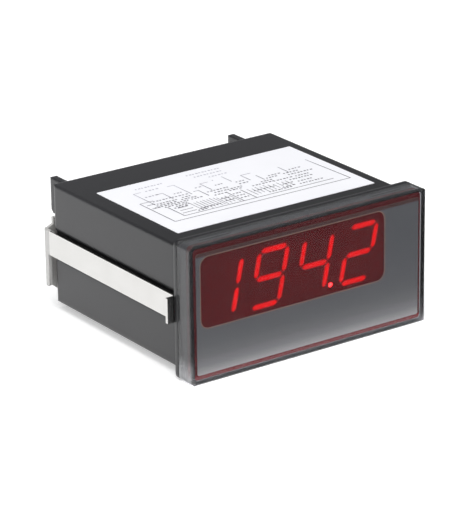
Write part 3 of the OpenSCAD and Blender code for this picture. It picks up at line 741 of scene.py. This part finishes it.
# Polyester film, screen-printed from behind in silver grey, with a painted reflection that pales it towards
# the bottom and a painted shade along its top edge.
GREY_FILM = PrintedFilm(
    "grey_film_printed",
    "#757678",
    0.35,
    fade=(
        (8.0, "#737475"), (-4.0, "#7b7b7c"), (-11.0, "#818181"), (-15.0, "#8e8d8c"), (-18.0, "#a6a4a3"),
        (-19.6, "#c2bebc"), (-20.9, "#ded9d4"),
    ),
    shade_band_colour="#5e3f3a",
)
# Screen ink of the line round the window: a thin brown edge to the red.
WINDOW_INK = Ink("window_line_ink", "#a47c68", 0.4, worn="#b48c78")
# Coated paper, offset-printed: flat bluish white.
LABEL_PAPER = Paper("label_paper_coated", "#f7f7fb", 0.5)
# Offset ink of the label's lines: dark grey that pales towards the rear.
LABEL_INK = Ink("label_ink_grey", "#4b4750", 0.6, worn="#706d76", faded="#b9b8c2", fade_mm=(36.0, 48.0))
# Epoxy, cast into a light pipe over a lit die: glows red, softer towards its edges.
SEGMENT_LIT = LitDiffuser(
    "segment_epoxy_lit",
    "#a01010",
    0.4,
    glow="#ff1030",
    power=4.1,
    hot_glow="#fff4c4",
    hot_at=(9.93, -2.8),
    hot_share=10.0,
)
# The same epoxy over a dark die: a dull red brown that all but hides in the window.
SEGMENT_DARK = MouldedPlastic("segment_epoxy_unlit", "#4d2a28", 0.45, shade="#452523")
# ABS digit body, painted on its face: dark and matt, so that the unlit display stays even.
DIGIT_BODY = MouldedPlastic("digit_body_abs_painted", "#2a2322", 0.5, shade="#241e1d")
# Steel sheet, cold-rolled and zinc-plated: near white with fine rolling lines, and matt grey at the rear.
ZINC_SHEET = Metal(
    "steel_sheet_zinc_plated", "#d8d7d5", 0.22, shade="#cccbc8", matt_share=0.9, matt_from_mm=76.8
)
# Steel screw, rolled and zinc-plated: bright grey without a direction to its lines.
SCREW_ZINC = Metal("screw_steel_zinc_plated", "#d4d3cf", 0.26, shade="#bfbeba", along=(1.0, 1.0, 1.0))
# Brass, turned from bar: warm yellow with turning lines across Y.
BRASS = Metal("brass_turned", "#d9b25f", 0.28, shade="#c69d4c", along=(1.0, 0.2, 1.0))
# Copper wire, drawn and tinned: pale silver with lines along its length.
TINNED = Metal("copper_tinned", "#c9cacc", 0.3, shade="#b4b5b8", along=(1.0, 1.0, 0.2))
# Bronze pin, stamped and gold-flashed: a clean yellow glint.
GOLD_FLASH = Metal("bronze_gold_flashed", "#e6c06a", 0.24, shade="#d6ac54", along=(1.0, 0.2, 0.2))
# Aluminium, extruded: silvery, with the die's lines up the fins.
SINK_ALUMINIUM = Metal("aluminium_extruded", "#b9bcc1", 0.38, shade="#a6a9ae", along=(1.0, 1.0, 0.04))
# Nickel silver, deep-drawn into a can: smooth and faintly warm.
CRYSTAL_CAN = Metal("nickel_silver_drawn", "#c8c8ca", 0.25, shade="#b5b5b8", along=(1.0, 1.0, 0.1))
# Glass-filled nylon, moulded pale grey: matt, a little chalky.
TERMINAL_NYLON = MouldedPlastic("grey_nylon_moulded", "#c6c8c4", 0.5, shade="#bbbdb9")
# Epoxy board, printed with solder resist: green and glossy, with a coarse weave under the film.
SOLDER_RESIST = MouldedPlastic("board_solder_resist", "#2a6b41", 0.3, shade="#1f5634", grain_mm=0.6)
# Nylon, moulded black: matt and flat.
BLACK_NYLON = MouldedPlastic("black_nylon_moulded", "#1a1a1c", 0.5, shade="#131315")
# Epoxy, moulded over a chip: dull charcoal.
CHIP_EPOXY = MouldedPlastic("chip_epoxy_moulded", "#232325", 0.55, shade="#1b1b1d")
# Nylon, moulded natural: creamy white.
BOBBIN_NYLON = MouldedPlastic("cream_nylon_moulded", "#dcd6c0", 0.5, shade="#cfc8b0")
# PVC sleeve, shrunk over a can: dark blue with a tight gloss.
SLEEVE_PVC = MouldedPlastic("blue_sleeve_shrunk", "#23305c", 0.3, shade="#1c274c")
# Epoxy, moulded over a diode: black with a slight gloss.
DIODE_EPOXY = MouldedPlastic("diode_epoxy_moulded", "#1d1d1f", 0.4, shade="#161618")
# Lacquer, dipped over a resistor: tan and smooth.
RESISTOR_LACQUER = MouldedPlastic("resistor_lacquer_dipped", "#c8a878", 0.4, shade="#b99766")
# Silicon steel, stamped, stacked and varnished: dark grey with the edge of each sheet showing.
LAMINATIONS = Banded("core_laminations_varnished", "#6b6b70", 0.4, gap="#2c2c2f", metallic=0.8)
# Copper wire, enamelled and wound: copper red turns with dark gaps.
WINDING = Banded(
    "coil_wire_enamelled", "#b0612f", 0.35, gap="#5d2c14", pitch_mm=0.4, axis=Across.HEIGHT
)


# ---- Building ----


def put(name: str, data: bpy.types.ID) -> bpy.types.Object:
    """Puts an object in the scene.

    Args:
        name: Its name.
        data: Its mesh, lamp or camera.

    Returns:
        The object.
    """
    made = bpy.data.objects.new(name, data)
    bpy.context.scene.collection.objects.link(made)
    return made


def put_shape(name: str, shape: bmesh.types.BMesh, material: bpy.types.Material) -> bpy.types.Object:
    """Puts a shape in the scene.

    Args:
        name: Its name.
        shape: Its mesh, which is freed.
        material: Its material.

    Returns:
        The object.
    """
    mesh = bpy.data.meshes.new(name)
    shape.to_mesh(mesh)
    shape.free()
    mesh.materials.append(material)
    return put(name, mesh)


def new_piece(name: str, shape: bmesh.types.BMesh, finish: Finish) -> bpy.types.Object:
    """Makes a piece of a shape, which rides on the meter's body.

    Args:
        name: The piece's name.
        shape: Its mesh, which is freed.
        finish: Its finish.

    Returns:
        The piece.
    """
    piece = put_shape(name, shape, finish.material())
    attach(piece, BODY)
    log.info("%s: %d faces", name, len(piece.data.polygons))
    return piece


def rounded(low: Point, high: Point, radius: float, steps: int) -> list[Point]:
    """Gives the outline of a rectangle with round corners.

    Args:
        low: Lowest middle of a corner's arc on each axis.
        high: Highest middle of a corner's arc on each axis.
        radius: Radius of the arcs.
        steps: Straight pieces in each arc.

    Returns:
        Its points.
    """
    points = []
    for quarter, (x, y) in enumerate((high, (low[0], high[1]), low, (high[0], low[1]))):
        for step in range(steps + 1):
            angle = math.pi / 2 * (quarter + step / steps)
            points.append((x + radius * math.cos(angle), y + radius * math.sin(angle)))
    return points


def join(shape: bmesh.types.BMesh, under: Ring, over: Ring) -> None:
    """Joins two rings of points by faces.

    Args:
        shape: The mesh that they are in.
        under: One ring.
        over: The ring over it, with as many points.
    """
    for i in range(len(under)):
        j = (i + 1) % len(under)
        shape.faces.new((under[i], under[j], over[j], over[i]))


class SubAssembly(ABC):
    """A group of pieces that is built and then dressed."""

    def build(self) -> None:
        """Builds the meshes that the solids don't have, in a group that has any."""

    @abstractmethod
    def finishes(self) -> dict[str, Finish]:
        """Gives the solids' finishes.

        Returns:
            Name of each solid in the group, with its finish.
        """

    def dress(self) -> None:
        """Gives the solids their finishes."""
        for node, finish in self.finishes().items():
            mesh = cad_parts[node].data
            mesh.materials.clear()
            mesh.materials.append(finish.material())
            log.info("%s: %s", node, finish.name)


@dataclass
class Housing(SubAssembly):
    """The case with its label, and the lines printed on the label.

    Attributes:
        trim: How much the die-cut sheet falls short of the solid at its left, right, front and rear.
        corner: Radius of the sheet's corners.
        corner_steps: Straight pieces in each rounded corner.
        cut_edge: Width and height of the edge that the die pressed down.
        ink_lift: Height of the ink above the paper.
        line: Width of a thin line.
        comb_line: Width of a line in a bunch of close lines.
        comb_drop: How much lower every second line of a bunch begins.
        comb_rise: How much earlier the lines of a bunch end, by turns.
        dash_step: Distance from one dash to the next.
        dash_height: Height of a dash.
        dash_fill: Share of that distance which a dash fills, and what every second one adds.
        lines: Ends (x, y, x, y) of the frame's lines and the leads, from the label's middle.
        combs: Left, top, right, height and number of gaps of each bunch of close lines.
        rows: Left end (x, y) and length of each row of dashes.
        strokes: Ends and width of every stroke, once laid out.
    """

    trim: tuple[float, float, float, float] = (0.0, 0.9, -0.4, 1.2)
    corner: float = 0.4
    corner_steps: int = 8
    cut_edge: float = 0.05
    ink_lift: float = 0.02
    line: float = 0.36
    comb_line: float = 0.26
    comb_drop: float = 0.5
    comb_rise: float = 0.4
    dash_step: float = 1.3
    dash_height: float = 0.7
    dash_fill: Point = (0.5, 0.2)
    lines: tuple[tuple[float, float, float, float], ...] = (
        (-35.3, 5.3, -35.3, -15.6), (-35.3, -15.6, 36.5, -15.9), (36.5, -15.9, 35.6, 8.6),
        (-35.3, 5.3, -29.9, 5.3), (-34.3, 2.4, -31.0, 2.4), (-34.6, -1.2, -31.1, -1.2),
        (-29.7, -2.9, -29.7, -12.9),
        (-29.7, -12.9, 31.6, -12.9), (-28.8, -10.5, -23.2, -10.5), (-28.1, -8.1, -23.0, -8.1),
        (-27.4, -5.7, -23.5, -5.7), (-31.6, 14.7, -31.6, 1.6), (-31.6, 14.7, -28.6, 14.7),
        (-23.3, 9.7, -23.3, 3.1), (-26.1, 9.7, -23.3, 9.7), (-15.7, 14.2, -15.7, 3.1),
        (-18.3, 14.2, -15.7, 14.2), (-7.9, 9.9, -7.9, 2.6), (-12.0, 4.8, -12.0, -1.5),
        (-14.0, 4.8, -12.0, 4.8), (-5.6, -3.0, -5.6, -12.9), (-0.4, -3.3, -0.4, -12.9),
        (8.1, 8.6, 8.1, 2.7), (12.3, 5.5, 12.3, 0.3), (23.3, 7.9, 23.3, 1.7), (-7.9, 9.9, -4.6, 9.9),
        (8.1, 8.6, 12.3, 8.6), (2.2, 11.6, 2.2, 5.4),
    )
    combs: tuple[tuple[float, float, float, float, int], ...] = (
        (-21.6, -3.9, -12.4, 8.2, 7), (-11.4, -5.0, -6.6, 7.2, 3), (1.6, -4.2, 8.2, 6.6, 4),
        (9.8, -4.8, 17.0, 5.2, 4),
    )
    rows: tuple[tuple[float, float, float], ...] = (
        (-28.7, 18.1, 11.5), (-26.8, 14.7, 5.6), (-30.2, 9.6, 5.5), (-31.9, 0.3, 8.3), (-26.9, -3.8, 6.0),
        (-21.8, 0.5, 6.6), (-7.0, 19.4, 14.2), (-5.6, 16.7, 12.0), (-23.2, -11.4, 4.3), (-10.6, -9.2, 4.2),
        (2.6, -7.0, 9.1), (19.3, -10.4, 10.0), (-1.5, 13.8, 7.9), (-10.8, -6.8, 4.1), (5.1, -2.6, 9.6),
        (6.1, -11.0, 9.8), (-2.6, 10.3, 0.9), (15.4, 2.6, 5.4), (18.8, -5.2, 9.8), (20.2, -8.0, 6.4),
        (-20.6, 6.8, 3.8), (-11.6, 7.4, 3.0), (2.8, 1.8, 4.4), (-4.6, 5.6, 3.6), (24.8, 3.6, 5.2),
        (-30.6, 4.4, 9.0), (-30.8, 1.8, 8.6), (-33.4, -1.0, 14.0), (-18.8, -1.0, 4.8), (-9.0, -0.4, 12.0),
        (9.8, -1.0, 5.0), (21.4, -0.7, 10.6), (-30.4, -2.4, 9.6), (-10.4, -2.5, 5.6), (-3.8, -1.8, 5.4),
        (13.6, -3.0, 8.2), (22.6, -3.2, 6.2), (-28.4, -5.0, 5.8), (-4.8, -5.2, 3.8), (-4.8, -7.6, 3.8),
        (14.2, -7.4, 4.6), (-21.4, -10.2, 8.8), (-4.8, -9.9, 4.0), (12.4, -9.9, 5.6), (-21.8, 4.2, 5.6),
        (-20.4, 2.2, 4.0), (-10.6, 1.6, 9.2), (2.8, 4.0, 4.2), (13.4, 0.9, 4.8), (20.8, 1.3, 6.8),
    )
    strokes: list[tuple[Point, Point, float]] = field(default_factory=list)

    def stroke(self, start: Point, end: Point, width: float | None = None) -> None:
        """Notes a straight printed stroke from one point to another, of a width or of the line width."""
        self.strokes.append((start, end, width or self.line))

    def plan(self) -> None:
        """Lays out the frame, the leads, the combs of close lines and the rows of dashes."""
        for x0, y0, x1, y1 in self.lines:
            self.stroke((x0, y0), (x1, y1))
        for left, top, right, height, gaps in self.combs:
            for i in range(gaps + 1):
                across = left + (right - left) * i / gaps
                start = (across, top - self.comb_drop * (i % 2))
                self.stroke(start, (across, top - height + self.comb_rise * (i % 3)), self.comb_line)
        for left, height, length in self.rows:
            self.dashes((left, height), max(1, round(length / self.dash_step)), length)

    def dashes(self, start: Point, count: int, length: float) -> None:
        """Notes a row of short even dashes, as from a typewriter's rule.

        Args:
            start: The row's left end.
            count: Number of dashes.
            length: Length of the row.
        """
        step = length / count
        share, more = self.dash_fill
        for i in range(count):
            left = start[0] + i * step
            right = left + step * (share + more * (i % 2))
            self.stroke((left, start[1]), (right, start[1]), self.dash_height)

    def build_sheet(self) -> None:
        """Builds the label: a die-cut sheet with round corners and pressed edges."""
        low, high = (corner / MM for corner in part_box("label"))
        left, right, front, rear = self.trim
        first = (low.x + left + self.corner, low.y + front + self.corner)
        last = (high.x - right - self.corner, high.y - rear - self.corner)
        shape = bmesh.new()
        rings = []
        levels = ((0.0, low.z), (0.0, high.z - self.cut_edge), (self.cut_edge, high.z))
        for inward, level in levels:
            outline = rounded(first, last, self.corner - inward, self.corner_steps)
            rings.append([shape.verts.new(Vector((x, y, level)) * MM) for x, y in outline])
        for under, over in zip(rings, rings[1:]):
            join(shape, under, over)
        shape.faces.new(rings[-1])
        shape.faces.new(list(reversed(rings[0])))
        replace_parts(new_piece("label_sheet", shape, LABEL_PAPER), "label")

    def build(self) -> None:
        """Builds the label, and the printed lines as one flat mesh over it."""
        self.build_sheet()
        self.plan()
        low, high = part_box("label")
        middle = (low + high) / 2 / MM
        level = high.z / MM + self.ink_lift
        shape = bmesh.new()
        for start, end, width in self.strokes:
            a = Vector((start[0] + middle.x, start[1] + middle.y, level))
            b = Vector((end[0] + middle.x, end[1] + middle.y, level))
            side = (b - a).normalized().cross(Vector((0, 0, 1))) * width / 2
            corners = [shape.verts.new(p * MM) for p in (a - side, a + side, b + side, b - side)]
            face = shape.faces.new(corners)
            if face.normal.z < 0:
                face.normal_flip()
        bmesh.ops.recalc_face_normals(shape, faces=shape.faces)
        new_piece("label_print", shape, LABEL_INK)

    def finishes(self) -> dict[str, Finish]:
        """Gives the case's finish."""
        return {"case": CASE_ABS}


@dataclass
class Display(SubAssembly):
    """The clear cap, the film with its window line, the red filter and the digits.

    Attributes:
        window: Width and height of the film's window.
        window_middle: Middle of the window, from the middle of the bezel.
        corner: Radius of the window's corners.
        line: Width of the printed line round the window.
        lift: Distance of the line in front of the film.
        corner_steps: Straight pieces in each rounded corner.
        digits: Number of digits.
    """

    window: Point = (74.4, 24.5)
    window_middle: Point = (-6.3, 7.15)
    corner: float = 3.2
    line: float = 0.3
    lift: float = 0.02
    corner_steps: int = 12
    digits: int = 4

    def build(self) -> None:
        """Builds the line round the window."""
        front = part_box("overlay")[0].y / MM - self.lift
        x, z = self.window_middle
        half_w, half_h = (side / 2 - self.corner for side in self.window)
        first, last = (x - half_w, z - half_h), (x + half_w, z + half_h)
        shape = bmesh.new()
        rings = []
        for out in (0.0, self.line):
            outline = rounded(first, last, self.corner + out, self.corner_steps)
            rings.append([shape.verts.new(Vector((x, front, z)) * MM) for x, z in outline])
        join(shape, rings[1], rings[0])
        bmesh.ops.recalc_face_normals(shape, faces=shape.faces)
        new_piece("window_line", shape, WINDOW_INK)

    def finishes(self) -> dict[str, Finish]:
        """Gives the finishes of the cap, film, filter and digits.

        Returns:
            Name of each solid, with its finish.
        """
        return {
            "front_cap": CLEAR_POLYCARBONATE,
            "overlay": GREY_FILM,
            "red_filter": RED_ACRYLIC,
            **{f"digit_{i}": DIGIT_BODY for i in range(1, self.digits + 1)},
            "lit_segments": SEGMENT_LIT,
            "dark_segments": SEGMENT_DARK,
            "digit_pins": TINNED,
        }


@dataclass
class Terminals(SubAssembly):
    """The row of screw terminals and the trimmer beside it.

    Attributes:
        count: Number of terminals.
    """

    count: int = 9

    def finishes(self) -> dict[str, Finish]:
        """Gives the finishes of the block, its clamps and screws, and the trimmer.

        Returns:
            Name of each solid, with its finish.
        """
        return {
            "terminal_block": TERMINAL_NYLON,
            "terminal_clamps": BRASS,
            **{f"terminal_screw_{i}": SCREW_ZINC for i in range(1, self.count + 1)},
            "trimmer": BOBBIN_NYLON,
            "trimmer_rotor": SCREW_ZINC,
        }


@dataclass
class Clamp(SubAssembly):
    """The surround bracket with its two screws and their inserts."""

    def finishes(self) -> dict[str, Finish]:
        """Gives the finishes of the bracket, screws and inserts.

        Returns:
            Name of each solid, with its finish.
        """
        return {
            "bracket": ZINC_SHEET,
            "clamp_screw_left": SCREW_ZINC,
            "clamp_screw_right": SCREW_ZINC,
            "screw_inserts": BRASS,
        }


@dataclass
class Electronics(SubAssembly):
    """The boards and what stands on them, inside the case."""

    def finishes(self) -> dict[str, Finish]:
        """Gives the finishes of the boards and their parts.

        Returns:
            Name of each solid, with its finish.
        """
        return {
            "display_board": SOLDER_RESIST,
            "main_board": SOLDER_RESIST,
            "rear_board": SOLDER_RESIST,
            "front_header": BLACK_NYLON,
            "rear_header": BLACK_NYLON,
            "header_pins": GOLD_FLASH,
            "transformer_core": LAMINATIONS,
            "transformer_coil": WINDING,
            "transformer_bobbin": BOBBIN_NYLON,
            "converter_chip": CHIP_EPOXY,
            "driver_chips": CHIP_EPOXY,
            "crystal": CRYSTAL_CAN,
            "capacitors": SLEEVE_PVC,
            "diodes": DIODE_EPOXY,
            "resistors": RESISTOR_LACQUER,
            "regulator": CHIP_EPOXY,
            "heat_sink": SINK_ALUMINIUM,
            "board_screws": SCREW_ZINC,
        }


# ---- Studio ----


@dataclass
class Lamp:
    """A soft rectangular lamp.

    Attributes:
        name: Its name.
        place: Where it stands, in metres.
        aim: The point that it faces, in metres.
        size: Width and height, in metres.
        power: Radiant power.
    """

    name: str
    place: Triple
    aim: Triple
    size: Point
    power: float

    def build(self) -> None:
        """Puts the lamp in the scene."""
        data = bpy.data.lights.new(self.name, "AREA")
        data.shape = "RECTANGLE"
        data.size, data.size_y = self.size
        data.energy = self.power
        lamp = put(self.name, data)
        lamp.location = self.place
        lamp.rotation_mode = "QUATERNION"
        lamp.rotation_quaternion = (Vector(self.aim) - Vector(self.place)).to_track_quat("-Z", "Y")


@dataclass
class Studio:
    """A plain pale floor, soft lamps and the camera.

    Attributes:
        azimuth: The camera's direction round the meter, in degrees; 0 looks along +Y.
        elevation: Its height above the horizon, in degrees.
        roll: Its roll, in degrees.
        distance: Its distance from the target, in millimetres.
        target: The point that it faces, in millimetres.
        lens: Focal length on a 36 mm sensor.
        clip: Nearest and farthest distance that the camera sees, in metres.
        floor_half: Half the width of the floor, in metres.
        floor_gap: Distance of the floor under the meter, in millimetres.
        floor_grey: Brightness of the floor's paper.
        floor_lift: Light that the floor adds where it is seen.
        card: Places along Y between which gloss sees a black card on the floor, in millimetres.
        card_grey: Brightness of that card.
        card_veil: Share of it that clear plastic sees in place of the floor.
        sky: Colour of the surround.
        sky_level: Strength of the surround.
        sky_gloss: Strength that gloss sees at the horizon and high up.
        sky_rise: Upward parts of a direction between which gloss sees it change.
        lamps: The lamps.
    """

    azimuth: float = -35.14
    elevation: float = 20.84
    roll: float = -0.73
    distance: float = 961.35
    target: Triple = (-30.56, -9.5, 16.15)
    lens: float = 207.74
    clip: Point = (0.05, 50.0)
    floor_half: float = 6.0
    floor_gap: float = 0.05
    floor_grey: float = 0.75
    floor_lift: float = 0.45
    card: Point = (-14.0, -40.0)
    card_grey: float = 0.02
    card_veil: float = 0.75
    sky: Triple = (0.97, 0.98, 1.0)
    sky_level: float = 0.35
    sky_gloss: Point = (0.9, 0.13)
    sky_rise: Point = (0.04, 0.11)
    lamps: tuple[Lamp, ...] = (
        Lamp("overhead_lamp", (-0.25, -0.25, 1.3), (0.0, 0.02, 0.0), (1.3, 1.3), 19.0),
        Lamp("front_lamp", (-0.9, -1.5, 0.5), (0.0, 0.0, 0.0), (1.0, 0.8), 6.0),
    )

    def add_camera(self) -> None:
        """Makes the camera and makes it the scene's."""
        a, e, r = (math.radians(v) for v in (self.azimuth, self.elevation, self.roll))
        back = Vector((math.sin(a) * math.cos(e), -math.cos(a) * math.cos(e), math.sin(e)))
        right = Vector((math.cos(a), math.sin(a), 0.0))
        up = back.cross(right)
        turned_right = right * math.cos(r) + up * math.sin(r)
        turned_up = up * math.cos(r) - right * math.sin(r)
        data = bpy.data.cameras.new("camera")
        data.lens = self.lens
        data.clip_start, data.clip_end = self.clip
        camera = put("camera", data)
        place = Vector(self.target) * MM + back * self.distance * MM
        turn = Matrix((turned_right, turned_up, back)).transposed().to_4x4()
        camera.matrix_world = Matrix.Translation(place) @ turn
        bpy.context.scene.camera = camera

    def add_floor(self) -> None:
        """Lays the floor under the meter's lowest point."""
        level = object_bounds()[0].z - self.floor_gap * MM
        shape = bmesh.new()
        half = self.floor_half
        corners = ((-half, -half), (half, -half), (half, half), (-half, half))
        shape.faces.new([shape.verts.new(Vector((x, y, level))) for x, y in corners])
        floor = put_shape("floor", shape, self.floor_material())
        floor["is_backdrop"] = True

    def floor_material(self) -> bpy.types.Material:
        """Makes matt white paper that keeps the shadow.

        Gloss sees it white beside and behind the meter, and black in front, as with a card there. Clear
        plastic sees it dim.

        Returns:
            The material.
        """
        made = bpy.data.materials.new("floor_paper_white")
        made.use_nodes = True
        tree = made.node_tree
        tree.nodes.clear()
        canvas = Canvas(tree, tree.nodes.new("ShaderNodeOutputMaterial"))
        path = canvas.add("LightPath").outputs
        camera, glossy, through = (path[f"Is {ray} Ray"] for ray in ("Camera", "Glossy", "Transmission"))
        seen = canvas.add("Math", {"0": camera, "1": glossy}, operation="MAXIMUM")
        level = canvas.add("Math", {"0": seen}, operation="MULTIPLY", _1=self.floor_lift)
        lift = canvas.add("Emission", {"Strength": level})
        paper = canvas.add("BsdfDiffuse", Color=(*[self.floor_grey] * 3, 1.0))
        both = canvas.add("AddShader", {"0": paper, "1": lift})
        along = canvas.add("SeparateXYZ", {"Vector": canvas.place()}).outputs["Y"]
        near, far = self.card
        ahead = canvas.add("MapRange", {"Value": along}, From_Min=near, From_Max=far)
        card = canvas.add("Math", {"0": ahead, "1": glossy}, operation="MULTIPLY")
        dim = canvas.add("Math", {"0": through}, operation="MULTIPLY", _1=self.card_veil)
        veil = canvas.add("Math", {"0": card, "1": dim}, operation="MAXIMUM")
        black = canvas.add("BsdfDiffuse", Color=(*[self.card_grey] * 3, 1.0))
        seen_as = canvas.add("MixShader", {"0": veil, "1": both, "2": black})
        canvas.feed(seen_as, "Surface")
        return made

    def add_world(self) -> None:
        """Gives the studio an even, dim surround, which gloss sees bright near the horizon."""
        world = bpy.data.worlds.new("studio")
        bpy.context.scene.world = world
        world.use_nodes = True
        canvas = Canvas(world.node_tree, world.node_tree.nodes["Background"])
        canvas.shader.inputs["Color"].default_value = (*self.sky, 1.0)
        way = canvas.add("TexCoord").outputs["Generated"]
        up = canvas.add("SeparateXYZ", {"Vector": way}).outputs["Z"]
        begin, end = self.sky_rise
        high = canvas.add("MapRange", {"Value": up}, From_Min=begin, From_Max=end)
        low_level, high_level = self.sky_gloss
        gloss = canvas.add("MapRange", {"Value": high}, To_Min=low_level, To_Max=high_level)
        glossy = canvas.add("LightPath").outputs["Is Glossy Ray"]
        level = canvas.add("Mix", {"0": glossy, "3": gloss}, _2=self.sky_level)
        canvas.feed(level, "Strength")

    def build(self) -> None:
        """Builds the studio."""
        bpy.context.scene.view_settings.view_transform = "Standard"
        self.add_camera()
        self.add_floor()
        self.add_world()
        for lamp in self.lamps:
            lamp.build()


def main() -> None:
    """Builds and dresses the meter, then the studio."""
    logging.basicConfig(level=logging.INFO, format="%(name)s %(message)s")
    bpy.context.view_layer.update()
    for part in (Housing(), Display(), Terminals(), Clamp(), Electronics()):
        part.build()
        part.dress()
        log.info("%s is ready", type(part).__name__)
    Studio().build()


if __name__ == "__main__":
    main()
